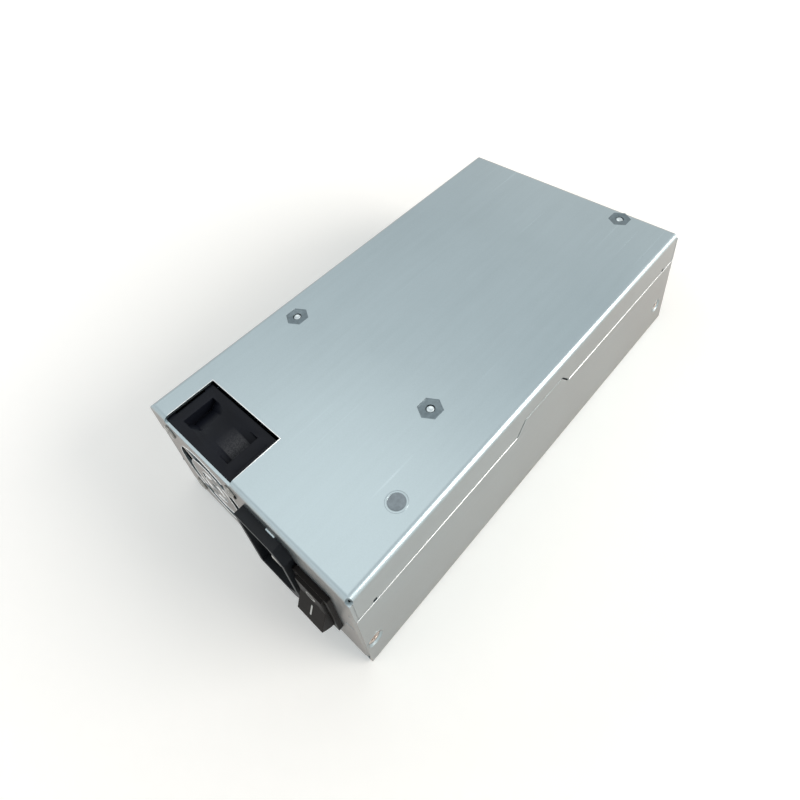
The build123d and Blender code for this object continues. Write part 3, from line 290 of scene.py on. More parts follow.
def mouldedFinish(name, look, pattern=mouldedPattern):
    # moulded plastic: fine spark texture and a few paler specks of filler
    made = Finish(name, {"IOR": 1.5, "Specular IOR Level": look.get("gloss", pattern["gloss"])})
    spark = made.noise(look["grainScale"], 3, 0.65)
    patch = made.noise(pattern["patchScale"], 3, 0.5)
    speck = 1 - made.cells(look["speckScale"]).step(*pattern["speckBand"])
    speck = speck * patch.step(*pattern["speckPatches"])
    colour = made.toned(patch.step(*pattern["patchBand"]), look["colour"], *pattern["tones"])
    colour = made.mixed(speck * look["specks"], colour, shade(look["speckColour"]))
    if "dustAndSheen" in look:  # fine grey dust specks on one stretch of the barrel, over a painted sheen that pales that stretch
        dustAndSheen = look["dustAndSheen"]
        across, along = made.axes(made.moved(centre=dustAndSheen["centre"]))[:2]
        stretch = across.step(*dustAndSheen["rise"]) * (1 - across.step(*dustAndSheen["fall"]))
        stretch = stretch * (1 - along.size().step(*dustAndSheen["edge"]))
        thick = spark.step(*pattern["dustAndSheenBand"]) * (1 - pattern["dustAndSheenFloor"])
        dustAndSheenShare = stretch * (pattern["dustAndSheenFloor"] + thick)
        colour = made.mixed(dustAndSheenShare * dustAndSheen["share"], colour, shade(dustAndSheen["colour"]))
    rough = look["roughness"] + (spark - 0.5) * pattern["sparkRough"] + (patch - 0.5) * pattern["patchRough"]
    normal = made.bumped(spark, look["bump"], pattern["bumpDepth"], look["edge"])
    return made.feed(colour=colour, roughness=rough, normal=normal)


fanDustAndSheen = {  # metres; dust specks over a painted sheen, which rises and falls across the fan and ends sharply along it
    "centre": (-0.0130, -0.06645, 0.0378),
    "rise": (-0.0042, 0.0012),
    "fall": (0.0042, 0.0046),
    "edge": (0.0029, 0.0031),
    "share": 0.85,
    "colour": (0.062, 0.064, 0.070),
}
addFinishes(mouldedFinish, {
    "fan_plastic": {
        "colour": (0.0055, 0.0066, 0.0105), "roughness": 0.4, "gloss": 0.13, "bump": 0.35, "edge": 0.00022,
        "grainScale": 2600, "speckScale": 1500, "specks": 0.3, "speckColour": (0.06, 0.066, 0.075),
        "dustAndSheen": fanDustAndSheen,
    },
    "inlet_plastic": {
        "colour": (0.012, 0.0138, 0.017), "roughness": 0.45, "gloss": 0.2, "bump": 0.3, "edge": 0.0002,
        "grainScale": 3400, "speckScale": 1900, "specks": 0.12, "speckColour": (0.06, 0.065, 0.07),
    },
    "switch_plastic": {
        "colour": (0.0105, 0.0085, 0.0078), "roughness": 0.4, "gloss": 0.09, "bump": 0.2, "edge": 0.00025,
        "grainScale": 4200, "speckScale": 2300, "specks": 0.08, "speckColour": (0.06, 0.055, 0.05),
    },
    "rocker_mark_paint": {
        "colour": (0.62, 0.62, 0.6), "roughness": 0.45, "bump": 0.15, "edge": 0.00005,
        "grainScale": 3000, "speckScale": 2600, "specks": 0.25, "speckColour": (0.3, 0.3, 0.29),
    },
    "bush_nylon": {
        "colour": (0.018, 0.018, 0.018), "roughness": 0.4, "bump": 0.25, "edge": 0.0002,
        "grainScale": 3000, "speckScale": 1600, "specks": 0.1, "speckColour": (0.07, 0.07, 0.07),
    },
    "header_nylon": {
        "colour": (0.7, 0.68, 0.6), "roughness": 0.45, "bump": 0.2, "edge": 0.00015,
        "grainScale": 2600, "speckScale": 1500, "specks": 0.1, "speckColour": (0.5, 0.47, 0.38),
    },
    "device_epoxy": {
        "colour": (0.022, 0.022, 0.023), "roughness": 0.55, "bump": 0.4, "edge": 0.00015,
        "grainScale": 3800, "speckScale": 2500, "specks": 0.15, "speckColour": (0.09, 0.09, 0.09),
    },
    "filter_box": {
        "colour": (0.62, 0.43, 0.06), "roughness": 0.4, "bump": 0.2, "edge": 0.0002,
        "grainScale": 2200, "speckScale": 1300, "specks": 0.1, "speckColour": (0.5, 0.3, 0.04),
    },
    "disc_ceramic": {
        "colour": (0.03, 0.12, 0.38), "roughness": 0.28, "bump": 0.3, "edge": 0.0003,
        "grainScale": 1400, "speckScale": 900, "specks": 0.1, "speckColour": (0.1, 0.22, 0.5),
    },
})


def windingFinish(name, look):
    # enamelled wire laid side by side
    made = Finish(name, {"Metallic": look["metal"], "Coat Roughness": 0.2})
    across = made.axes()[look["axis"]]
    wires = (across * (2 * math.pi / look["pitch"])).wave() * 0.5 + 0.5
    tint = made.noise(look["tintScale"], 3, 0.5).step(*look["tintBand"])
    colour = made.toned(wires, look["colour"], *look["tones"])
    colour = made.mixed(tint * look["tintShare"], colour, shade(look["colour"], look["tintTone"]))
    rough = look["roughness"] + (1 - wires) * look["grooveRough"]
    normal = made.bumped(wires, look["bump"], look["pitch"] * look["grooveDepth"], look["edge"])
    return made.feed(colour=colour, roughness=rough, normal=normal)


addFinishes(windingFinish, {
    "copper_winding": {
        "colour": (0.62, 0.24, 0.09), "metal": 0.85, "roughness": 0.32, "axis": 0, "pitch": 0.0009,
        "tones": (0.45, 1.1), "tintScale": 260, "tintBand": (0.45, 0.8), "tintShare": 0.4, "tintTone": 0.7,
        "grooveRough": 0.25, "grooveDepth": 0.3, "bump": 0.8, "edge": 0.0002,
    },
})


stonePattern = {
    "grainBand": (0.3, 0.7), "grainRough": 0.2, "tones": (0.75, 1.25), "bump": 0.5, "bumpDepth": 0.00005,
    "pitScale": 0.6, "pitBand": (0.08, 0.3), "pitShare": 0.5, "pitTone": 0.5, "pitDepth": 0.6,
}


def stoneFinish(name, look, pattern=stonePattern):
    # pressed or sintered block: grain and pores
    made = Finish(name, {"Metallic": look.get("metal", 0.0)})
    grain = made.noise(look["grainScale"], 5, 0.7)
    pit = 1 - made.cells(look["grainScale"] * pattern["pitScale"]).step(*pattern["pitBand"])
    colour = made.toned(grain.step(*pattern["grainBand"]), look["colour"], *pattern["tones"])
    colour = made.mixed(pit * pattern["pitShare"], colour, shade(look["colour"], pattern["pitTone"]))
    rough = look["roughness"] + (grain - 0.5) * pattern["grainRough"]
    height = grain - pit * pattern["pitDepth"]
    normal = made.bumped(height, pattern["bump"], pattern["bumpDepth"], look["edge"])
    return made.feed(colour=colour, roughness=rough, normal=normal)


addFinishes(stoneFinish, {
    "bronze_bearing": {
        "colour": (0.5, 0.32, 0.15), "metal": 1.0, "grainScale": 2600, "roughness": 0.4, "edge": 0.0001,
    },
    "magnet_rubber": {"colour": (0.05, 0.048, 0.046), "grainScale": 1800, "roughness": 0.6, "edge": 0.0001},
    "ferrite": {"colour": (0.075, 0.076, 0.08), "grainScale": 1500, "roughness": 0.5, "edge": 0.0002},
})


def boardFinish(name, look):
    # solder mask over copper runs, with tinned pads
    made = Finish(name, {"Coat Weight": 0.3, "Coat Roughness": 0.15})
    track = 1 - made.cells(look["trackScale"], "DISTANCE_TO_EDGE").step(*look["trackBand"])
    pad = 1 - made.cells(look["padScale"]).step(*look["padBand"])
    weave = made.noise(look["weaveScale"], 3, 0.6)
    cloth = weave.step(*look["weaveBand"]) * look["weaveShare"]
    colour = made.toned(track, look["colour"], *look["tones"])
    colour = made.mixed(cloth, colour, shade(look["colour"], look["weaveTone"]))
    colour = made.mixed(pad, colour, shade(look["padColour"]))
    rough = look["roughness"] - track * look["trackRough"] + pad * look["padRough"]
    height = track * look["trackHeight"] + pad + weave * look["weaveHeight"]
    normal = made.bumped(height, look["bump"], look["bumpDepth"], look["edge"])
    return made.feed(colour=colour, roughness=rough, normal=normal)


addFinishes(boardFinish, {
    "circuit_board": {
        "colour": (0.02, 0.11, 0.04), "roughness": 0.38, "tones": (0.8, 1.5), "edge": 0.0001,
        "trackScale": 190, "trackBand": (0.03, 0.07), "trackRough": 0.06, "trackHeight": 0.6,
        "padColour": (0.62, 0.6, 0.56), "padScale": 210, "padBand": (0.16, 0.2), "padRough": 0.05,
        "weaveScale": 1800, "weaveBand": (0.4, 0.7), "weaveShare": 0.25, "weaveTone": 1.15,
        "weaveHeight": 0.1, "bump": 0.5, "bumpDepth": 0.00006,
    },
})


wrappedPattern = {
    "creaseScale": 700, "creaseBand": (0.35, 0.7), "creaseRough": 0.2, "creaseHeight": 0.3,
    "lapBand": (0.9, 0.99), "lapShare": 0.6, "tones": (0.85, 1.1), "bump": 0.5, "bumpDepth": 0.00008,
}


def wrappedFinish(name, look, pattern=wrappedPattern):
    # tape or sleeve laid on in turns, with lap lines and a soft gloss
    made = Finish(name, {"IOR": 1.48})
    laps = (made.axes()[look["axis"]] * (2 * math.pi / look["lap"])).wave()
    lapLine = laps.step(*pattern["lapBand"])
    crease = made.noise(pattern["creaseScale"], 4, 0.6)
    colour = made.toned(crease.step(*pattern["creaseBand"]), look["colour"], *pattern["tones"])
    colour = made.mixed(lapLine * pattern["lapShare"], colour, shade(look["lapColour"]))
    rough = look["roughness"] + (crease - 0.5) * pattern["creaseRough"]
    height = lapLine + crease * pattern["creaseHeight"]
    normal = made.bumped(height, pattern["bump"], pattern["bumpDepth"], look["edge"])
    return made.feed(colour=colour, roughness=rough, normal=normal)


addFinishes(wrappedFinish, {
    "winding_tape": {
        "colour": (0.72, 0.5, 0.05), "lapColour": (0.5, 0.3, 0.02), "axis": 2, "lap": 0.0052,
        "roughness": 0.35, "edge": 0.0002,
    },
    "capacitor_sleeve": {
        "colour": (0.014, 0.018, 0.04), "lapColour": (0.3, 0.32, 0.36), "axis": 0, "lap": 0.0094,
        "roughness": 0.25, "edge": 0.0003,
    },
    "insulating_film": {
        "colour": (0.62, 0.6, 0.52), "lapColour": (0.55, 0.53, 0.46), "axis": 1, "lap": 0.0301,
        "roughness": 0.3, "edge": 0.0001,
    },
})


def laminatedFinish(name, look):
    # stack of thin stampings, seen as lines across the stack
    made = Finish(name, {"Metallic": 1.0})
    sheets = (made.axes()[1] * (2 * math.pi / look["sheet"])).wave() * 0.5 + 0.5
    oil = made.noise(look["oilScale"], 3, 0.5)
    colour = made.toned(sheets, look["colour"], *look["tones"])
    rough = look["roughness"] + (oil - 0.5) * look["oilRough"]
    normal = made.bumped(sheets, look["bump"], look["bumpDepth"], look["edge"])
    return made.feed(colour=colour, roughness=rough, normal=normal)


addFinishes(laminatedFinish, {
    "core_steel": {
        "colour": (0.38, 0.38, 0.4), "tones": (0.6, 1.1), "sheet": 0.0005, "roughness": 0.4, "oilScale": 800,
        "oilRough": 0.3, "bump": 0.6, "bumpDepth": 0.00008, "edge": 0.0001,
    },
})


def fuseFinish(name, look):
    # glass tube between two plated caps, told apart by the place along the fuse
    low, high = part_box("line_fuse")
    capStart = (high.y - low.y) / 2 - look["capLength"]
    made = Finish(name, {"IOR": 1.5})
    along = made.axes(made.moved(centre=tuple((low + high) / 2)))[1].size()
    cap = along.step(capStart - look["capEdge"], capStart)
    haze = made.noise(look["hazeScale"], 4, 0.6)
    glass = made.mixed(haze.step(*look["hazeBand"]), shade(look["glass"]), shade(look["clearGlass"]))
    colour = made.mixed(cap, glass, shade(look["cap"]))
    rough = look["roughness"] + cap * look["capRough"] + (haze - 0.5) * look["hazeRough"]
    normal = made.bumped(haze, look["bump"], look["bumpDepth"], look["edge"])
    return made.feed(colour=colour, roughness=rough, metallic=cap, normal=normal)


addFinishes(fuseFinish, {
    "fuse_glass": {
        "glass": (0.55, 0.6, 0.58), "clearGlass": (0.78, 0.82, 0.8), "cap": (0.72, 0.7, 0.66),
        "roughness": 0.12, "capLength": 0.005, "capEdge": 0.0001, "capRough": 0.16, "edge": 0.0001,
        "hazeScale": 700, "hazeBand": (0.4, 0.7), "hazeRough": 0.1, "bump": 0.15, "bumpDepth": 0.00003,
    },
})
for node in nodes.values():
    for materialSlot in node.material_slots:
        materialSlot.material = finishes[materialSlot.material.name.split(".")[0]]
print("stage: finishes on the nodes,", len(finishes))


# small helpers for modelling
def clearAll():
    if bpy.context.object and bpy.context.object.mode != "OBJECT":
        bpy.ops.object.mode_set(mode="OBJECT")
    bpy.ops.object.select_all(action="DESELECT")


def take(piece):
    # leaves one piece selected and active, in object mode
    clearAll()
    piece.select_set(True)
    bpy.context.view_layer.objects.active = piece


def edit(piece):
    take(piece)
    bpy.ops.object.mode_set(mode="EDIT")


def settle(piece):
    # place, turn and scale go into the mesh
    take(piece)
    bpy.ops.object.transform_apply(location=True, rotation=True, scale=True)


def smooth(piece, angle):
    take(piece)
    bpy.ops.object.shade_smooth_by_angle(angle=math.radians(angle))


def block(low, high):
    # a cube stretched between two opposite corners
    low, high = Vector(low), Vector(high)
    clearAll()
    bpy.ops.mesh.primitive_cube_add(size=1, location=(low + high) / 2)
    piece = bpy.context.object
    piece.scale = [abs(length) for length in high - low]
    settle(piece)
    return piece


def cylinder(sides, radius, low, high):
    # round Z, between two heights
    clearAll()
    place = (0, 0, (low + high) / 2)
    bpy.ops.mesh.primitive_cylinder_add(vertices=sides, radius=radius, depth=high - low, location=place)
    piece = bpy.context.object
    settle(piece)
    return piece


def takeFaces(piece, test):
    # selects, in edit mode, the faces whose middle and normal pass the test
    bpy.ops.mesh.select_mode(type="FACE")
    shape = bmesh.from_edit_mesh(piece.data)
    for face in shape.faces:
        face.select_set(test(face.calc_center_median(), face.normal))
    shape.select_flush_mode()
    bmesh.update_edit_mesh(piece.data)


def takeEdges(piece, test):
    # the same for edges, by their two ends
    bpy.ops.mesh.select_mode(type="EDGE")
    shape = bmesh.from_edit_mesh(piece.data)
    for edge in shape.edges:
        edge.select_set(test(edge.verts[0].co, edge.verts[1].co))
    shape.select_flush_mode()
    bmesh.update_edit_mesh(piece.data)


def takeEnd(piece, end):
    # the flat faces that look up (1) or down (-1)
    takeFaces(piece, lambda middle, normal: normal.z * end > 0.9)


def shift(rise):
    bpy.ops.transform.translate(value=(0, 0, rise))


def extrude(rise, back=0):
    bpy.ops.mesh.extrude_region_move(TRANSFORM_OT_translate={"value": (0, back, rise)})


def stepTop(piece, steps):
    # insets the top again and again, each time raised or sunk a little
    takeEnd(piece, 1)
    for thickness, rise in steps:
        bpy.ops.mesh.inset(thickness=thickness)
        shift(rise)


def mendMesh(threshold):
    bpy.ops.mesh.select_all(action="SELECT")
    bpy.ops.mesh.remove_doubles(threshold=threshold)
    bpy.ops.mesh.normals_make_consistent(inside=False)


def addModifier(piece, kind, **settings):
    modifier = piece.modifiers.new(kind.title(), kind)
    for key, value in settings.items():
        setattr(modifier, key, value)
    take(piece)
    bpy.ops.object.modifier_apply(modifier=modifier.name)


def cutWith(piece, cutter):
    addModifier(piece, "BOOLEAN", operation="DIFFERENCE", object=cutter, solver="EXACT")
    bpy.data.objects.remove(cutter)


def joinWith(piece, other):
    addModifier(piece, "BOOLEAN", operation="UNION", object=other, solver="EXACT")
    bpy.data.objects.remove(other)


def soften(piece, width, angle=35):
    limit = math.radians(angle)
    addModifier(piece, "BEVEL", width=width, segments=2, limit_method="ANGLE", angle_limit=limit)


def placed(original, name, matrix):
    # a copy with its own mesh, moved in its mesh
    piece = original.copy()
    piece.data = original.data.copy()
    piece.name = name
    piece.data.name = name
    bpy.context.scene.collection.objects.link(piece)
    piece.data.transform(matrix)
    return piece


def finished(piece, slotName, body, finishName=None):
    piece.data.materials.clear()
    piece.data.materials.append(finishes[finishName or slotName])
    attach(piece, body)


def turnedTo(axisUp, place):
    # a matrix that stands a piece made round +Z on a place, pointing along an axis
    turn = Vector((0, 0, 1)).rotation_difference(Vector(axisUp)).to_matrix().to_4x4()
    return Matrix.Translation(place) @ turn


# cross recess of the screws
crossSet = {"above": 0.0002, "narrowing": 0.7}


def crossCutter(look):
    # two tapered blades that meet in a cross, from just above the origin down
    length, width = look["recessLength"] / 2, look["recessWidth"] / 2
    blades = []
    for turn in (0, 90):
        blade = block((-length, -width, -look["recessDepth"]), (length, width, crossSet["above"]))
        edit(blade)
        takeEnd(blade, -1)
        bpy.ops.transform.resize(value=(look["recessTaper"], crossSet["narrowing"], 1))
        bpy.ops.object.mode_set(mode="OBJECT")
        blade.rotation_euler.z = math.radians(turn)
        settle(blade)
        blades.append(blade)
    joinWith(*blades)
    return blades[0]


# cover screws
coverScrewSet = {
    "headRadius": 0.00188,
    "headHeight": 0.00045,
    "sunk": 0.00036,
    "topSteps": ((0.00022, 0.00006),),
    "shankRadius": 0.0012,
    "shankLength": 0.0018,
    "shankRound": 0.00025,
    "recessLength": 0.0025,
    "recessWidth": 0.00058,
    "recessDepth": 0.0007,
    "recessTaper": 0.42,
    "softEdge": 0.00005,
    "height": 0.0115,
    "frontInset": 0.003,
    "rearInset": 0.006,
    "turns": (17, 40, 63, 86),  # degrees, so that no two crosses stand alike
}


def modelCoverScrew(look):
    screw = cylinder(48, look["headRadius"], -look["headHeight"], 0)
    edit(screw)
    takeEnd(screw, -1)
    share = look["shankRadius"] / look["headRadius"]
    bpy.ops.transform.resize(value=(share, share, 1), center_override=(0, 0, -look["headHeight"]))
    extrude(-look["shankLength"])
    bpy.ops.mesh.bevel(offset=look["shankRound"], segments=2)
    stepTop(screw, look["topSteps"])
    cutWith(screw, crossCutter(look))
    soften(screw, look["softEdge"])
    smooth(screw, 40)
    return screw


# soft ring that a countersink or a clinched stud presses into the sheet
pressedSet = {
    "screwRadius": 0.00262,
    "screwTube": 0.0002,
    "studGap": 0.00016,
    "studTube": 0.00024,
    "spread": 1.05,
    "outerDrop": 0.6,
    "flatness": 0.35,
}


def modelPressedRing(look, radius, tube):
    clearAll()
    bpy.ops.mesh.primitive_torus_add(
        major_radius=radius, minor_radius=tube, major_segments=48, minor_segments=10
    )
    ring = bpy.context.object
    edit(ring)
    takeFaces(ring, lambda middle, normal: middle.xy.length > radius)
    spread = look["spread"]
    bpy.ops.transform.resize(value=(spread, spread, look["outerDrop"]), center_override=(0, 0, 0))
    bpy.ops.object.mode_set(mode="OBJECT")
    ring.scale = (1, 1, look["flatness"])
    settle(ring)
    smooth(ring, 60)
    return ring


coverScrew = modelCoverScrew(coverScrewSet)
pressedRing = modelPressedRing(pressedSet, pressedSet["screwRadius"], pressedSet["screwTube"])
screwSpots = []
for side in (-1, 1):
    for end, inset in ((-1, coverScrewSet["frontInset"]), (1, coverScrewSet["rearInset"])):
        spot = (side * caseSize["side"], end * (caseSize["wall"] - inset), coverScrewSet["height"])
        screwSpots.append((side, spot))
for number, (side, spot) in enumerate(screwSpots):
    turn = Matrix.Rotation(math.radians(coverScrewSet["turns"][number]), 4, "Z")
    stand = turnedTo((side, 0, 0), spot) @ turn
    sunk = stand @ Matrix.Translation((0, 0, -coverScrewSet["sunk"]))
    screw = placed(coverScrew, "coverScrew%d" % (number + 1), sunk)
    finished(screw, "zinc_screw", "case", "cover_screw_steel")
    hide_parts("cover_screws")
    ring = placed(pressedRing, "coverScrewDimple%d" % (number + 1), stand)
    finished(ring, "galvanised_steel", "case")
bpy.data.objects.remove(coverScrew)
bpy.data.objects.remove(pressedRing)
print("stage: cover screws")

# fan screws, in a darkened copy of the zinc finish that paints shade on them
fanScrewSet = {
    "headRadius": 0.00235,
    "headHeight": 0.00062,
    "edge": 0.0004,
    "edgeProfile": 0.55,
    "shankRadius": 0.00145,
    "shankLength": 0.0034,
    "recessLength": 0.0027,
    "recessWidth": 0.00064,
    "recessDepth": 0.0009,
    "recessTaper": 0.4,
    "softEdge": 0.00005,
    "pitch": 0.0286,
    "turns": (9, 40, 71, 102),
}


def modelFanScrew(look):
    top = look["headHeight"]
    screw = cylinder(48, look["headRadius"], 0, top)
    edit(screw)
    takeEdges(screw, lambda a, b: min(a.z, b.z) > top * 0.9)
    bpy.ops.mesh.bevel(offset=look["edge"], segments=6, profile=look["edgeProfile"])
    takeEnd(screw, -1)
    bpy.ops.mesh.inset(thickness=look["headRadius"] - look["shankRadius"])
    extrude(-look["shankLength"])
    cutter = crossCutter(look)
    cutter.data.transform(Matrix.Translation((0, 0, top)))
    cutWith(screw, cutter)
    soften(screw, look["softEdge"], 40)
    smooth(screw, 40)
    return screw


fanScrew = modelFanScrew(fanScrewSet)
for number, (across, up) in enumerate(((-1, -1), (1, -1), (-1, 1), (1, 1))):
    half = fanScrewSet["pitch"] / 2
    spot = Vector(fanCentre) + Vector((across * half, 0, up * half))
    turn = Matrix.Rotation(math.radians(fanScrewSet["turns"][number]), 4, "Z")
    screw = placed(fanScrew, "fanScrew%d" % (number + 1), turnedTo((0, -1, 0), spot) @ turn)
    finished(screw, "zinc_screw", "case", "fan_screw_steel")
    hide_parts("fan_screws")
bpy.data.objects.remove(fanScrew)
print("stage: fan screws")

# clinched standoffs, with the ends of the board's screws in them
standoffSet = {
    "acrossFlats": 0.00635,
    "headHeight": 0.0008,
    "topSteps": ((0.0003, 0.00001), (0.00008, -0.00007)),
    "barrelRadius": 0.0021,
    "barrelLength": 0.004,
    "barrelRound": 0.0002,
    "overlap": 0.0002,
    "boreRadius": 0.0013,
    "boreReach": 0.01,
    "softEdge": 0.00006,
    "spots": ((-0.03255, -0.0265), (0.02205, -0.0265), (0.02205, 0.0707)),
}
boardScrewSet = {
    "endRadius": 0.00108,
    "endDrop": 0.00024,
    "topSteps": ((0.0003, 0.00018), (0.0005, -0.0001)),
    "length": 0.0061,
    "neck": 0.00001,
    "headRadius": 0.0024,
    "headHeight": 0.0014,
    "headRound": 0.0004,
}


def modelStandoff(look):
    head = look["headHeight"]
    standoff = cylinder(6, look["acrossFlats"] / math.sqrt(3), -head, 0)
    edit(standoff)
    stepTop(standoff, look["topSteps"])
    barrel = cylinder(40, look["barrelRadius"], -head - look["barrelLength"], look["overlap"] - head)
    edit(barrel)
    takeEnd(barrel, -1)
    bpy.ops.mesh.bevel(offset=look["barrelRound"], segments=2)
    joinWith(standoff, barrel)
    bore = cylinder(40, look["boreRadius"], -look["boreReach"], look["boreReach"])
    edit(bore)
    bpy.ops.mesh.select_all(action="SELECT")
    bpy.ops.mesh.subdivide(number_cuts=1)
    cutWith(standoff, bore)
    soften(standoff, look["softEdge"])
    smooth(standoff, 35)
    return standoff


def modelBoardScrew(look):
    # its threaded end shows in the standoff, its head bears on the board's underside
    screw = cylinder(40, look["endRadius"], -look["length"], 0)
    edit(screw)
    stepTop(screw, look["topSteps"])
    takeEnd(screw, -1)
    wider = look["headRadius"] / look["endRadius"]
    extrude(-look["neck"])
    bpy.ops.transform.resize(value=(wider, wider, 1))
    extrude(-look["headHeight"])
    bpy.ops.mesh.bevel(offset=look["headRound"], segments=4)
    smooth(screw, 35)
    return screw


standoff = modelStandoff(standoffSet)
boardScrew = modelBoardScrew(boardScrewSet)
for number, (x, y) in enumerate(standoffSet["spots"]):
    top = Matrix.Translation((x, y, caseSize["top"]))
    piece = placed(standoff, "boardStandoff%d" % (number + 1), top)
    finished(piece, "galvanised_steel", "case", "clinched_steel")
    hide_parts("pcb_standoffs")
    drop = Matrix.Translation((x, y, caseSize["top"] - boardScrewSet["endDrop"]))
    piece = placed(boardScrew, "boardScrew%d" % (number + 1), drop)
    finished(piece, "zinc_screw", "case", "screw_end_steel")
    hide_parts("board_screws")
bpy.data.objects.remove(standoff)
bpy.data.objects.remove(boardScrew)

# earth stud
studSet = {
    "headRadius": 0.0024,
    "headHeight": 0.0008,
    "topSteps": ((0.00018, -0.00003), (0.0007, -0.00002), (0.0009, 0.00002)),
    "shankRadius": 0.0015,
    "shankLength": 0.009,
    "shankRound": 0.0003,
    "place": (0.03305, -0.0514, 0.0405),
}


def modelStud(look):
    stud = cylinder(56, look["headRadius"], -look["headHeight"], 0)
    edit(stud)
    stepTop(stud, look["topSteps"])
    takeEnd(stud, -1)
    bpy.ops.mesh.inset(thickness=look["headRadius"] - look["shankRadius"])
    extrude(-look["shankLength"])
    bpy.ops.mesh.bevel(offset=look["shankRound"], segments=2)
    smooth(stud, 35)
    return stud


stud = modelStud(studSet)
stud.name = "earthStud"
stud.data.transform(Matrix.Translation(studSet["place"]))
finished(stud, "galvanised_steel", "case", "stud_steel")
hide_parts("earth_stud")
collarRadius = studSet["headRadius"] + pressedSet["studGap"]
studCollar = modelPressedRing(pressedSet, collarRadius, pressedSet["studTube"])
studCollar.name = "earthStudCollar"
studCollar.data.transform(Matrix.Translation(studSet["place"]))
finished(studCollar, "galvanised_steel", "case")
print("stage: standoffs and stud")

# fan frame
fanFrameSet = {
    "centre": (-0.01865, -0.07415, 0.02025),  # on the front flange's outer face
    "half": 0.019,
    "depth": 0.0154,
    "flange": 0.0027,
    "postInner": 0.0104,
    "cutReach": 0.0228,
    "waist": 0.0185,
    "rise": 0.0017,
    "riseLength": 0.0019,
    "joint": 0.00001,
    "cornerInner": 0.0139,
    "cornerDrop": 0.00012,
    "cornerRound": 0.00228,
    "weld": 0.000001,
    "lastWeld": 0.000002,
}


def modelFanFrame(look):
    # the CAD frame with its barrel drawn in to a waist between the flanges, where a cone rises to each
    piece = placed(nodes["fan_frame"], "fanFrame", Matrix.Identity(4))
    edit(piece)
    mendMesh(look["weld"])
    middle = Vector(look["centre"]) + Vector((0, look["depth"] / 2, 0))
    room = look["depth"] - 2 * (look["flange"] + look["joint"])
    plain = room - 2 * look["riseLength"]
    waist = cylinder(144, look["waist"], -plain / 2, plain / 2)
    edit(waist)
    wider = (look["waist"] + look["rise"]) / look["waist"]
    for end in (-1, 1):
        takeEnd(waist, end)
        extrude(end * look["riseLength"])
        bpy.ops.transform.resize(value=(wider, wider, 1))
        extrude(end * look["flange"])
    inner, outer = look["postInner"], look["cutReach"]
    cutters = []
    for wide, high in ((inner, outer), (outer, inner)):
        cutters.append(block((-wide, -high, -room / 2), (wide, high, room / 2)))
    joinWith(*cutters)
    cutWith(cutters[0], waist)
    cutters[0].data.transform(Matrix.Translation(middle) @ Matrix.Rotation(math.radians(90), 4, "X"))
    cutWith(piece, cutters[0])
    reach = look["half"] - look["cornerDrop"]
    back = (look["depth"] - look["flange"]) / 2
    for up in (-1, 1):  # the two corners on the leads' side are filled between the flanges
        low = middle + Vector((look["cornerInner"], -back, up * look["cornerInner"]))
        high = middle + Vector((reach, back, up * reach))
        corner = block(low, high)
        place = (low + high) / 2
        edit(corner)
        takeEdges(corner, lambda a, b: min(a.x, b.x) > place.x and min(a.z * up, b.z * up) > place.z * up)
        bpy.ops.mesh.bevel(offset=look["cornerRound"], segments=6)
        joinWith(piece, corner)
    edit(piece)
    bpy.ops.mesh.select_all(action="SELECT")
    bpy.ops.mesh.remove_doubles(threshold=look["lastWeld"])
    smooth(piece, 28)
    return piece


fanFrame = modelFanFrame(fanFrameSet)
finished(fanFrame, "fan_plastic", "case")
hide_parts("fan_frame")
print("stage: fan frame,", len(fanFrame.data.polygons), "faces")

# burrs along the upper edges of the cover, pale so that they paint a highlight along the seam
burrHighlightSet = {
    "width": 0.00011,
    "height": 0.02879,
    "stretches": ((0.0748, 0.0117), (-0.0137, -0.0748)),  # along Y, either side of the tab
}


def modelBurrHighlight(look, side):
    # a fine rolled edge on the sheet, drawn along the straight stretches of the seam; its pale finish paints
    # the edge's highlight
    path = bpy.data.curves.new("burrHighlightPath", "CURVE")
    path.dimensions = "3D"
    for stretch in look["stretches"]:
        spline = path.splines.new("POLY")
        spline.points.add(len(stretch) - 1)
        for point, y in zip(spline.points, stretch):
            point.co = (side * caseSize["side"], y, look["height"], 1)
    path.bevel_depth = look["width"]
    path.bevel_resolution = 2
    path.use_fill_caps = True
    burrHighlight = bpy.data.objects.new("coverBurrHighlight", path)
    bpy.context.scene.collection.objects.link(burrHighlight)
    take(burrHighlight)
    bpy.ops.object.convert(target="MESH")
    burrHighlight = bpy.context.object
    edit(burrHighlight)
    bpy.ops.mesh.select_all(action="SELECT")
    bpy.ops.mesh.normals_make_consistent(inside=False)
    smooth(burrHighlight, 60)
    return burrHighlight


for side, burrHighlightName in ((-1, "coverBurrHighlightLeft"), (1, "coverBurrHighlightRight")):
    burrHighlight = modelBurrHighlight(burrHighlightSet, side)
    burrHighlight.name = burrHighlightName
    finished(burrHighlight, "zinc_screw", "case", "cut_edge_painted_highlight")
print("stage: cover burrs")

# folded returns that close the upright slits between end walls and side walls
returnSet = {"low": (0.03998, 0.074004, 0.0289), "high": (0.04069, 0.074196, 0.0384), "round": 0.00006}


def modelReturn(look):
    strip = block(look["low"], look["high"])
    middleX = (look["low"][0] + look["high"][0]) / 2
    edit(strip)
    takeEdges(strip, lambda a, b: min(a.x, b.x) > middleX and abs(a.z - b.z) > look["round"])
    bpy.ops.mesh.bevel(offset=look["round"], segments=3)
    smooth(strip, 40)
    return strip


wallReturn = modelReturn(returnSet)
for number, (side, end) in enumerate(((-1, -1), (1, -1), (-1, 1), (1, 1))):
    piece = placed(wallReturn, "wallReturn%d" % (number + 1), Matrix.Diagonal((side, end, 1, 1)))
    if side * end < 0:
        piece.data.flip_normals()
    finished(piece, "galvanised_steel", "case")
bpy.data.objects.remove(wallReturn)
print("stage: wall returns")

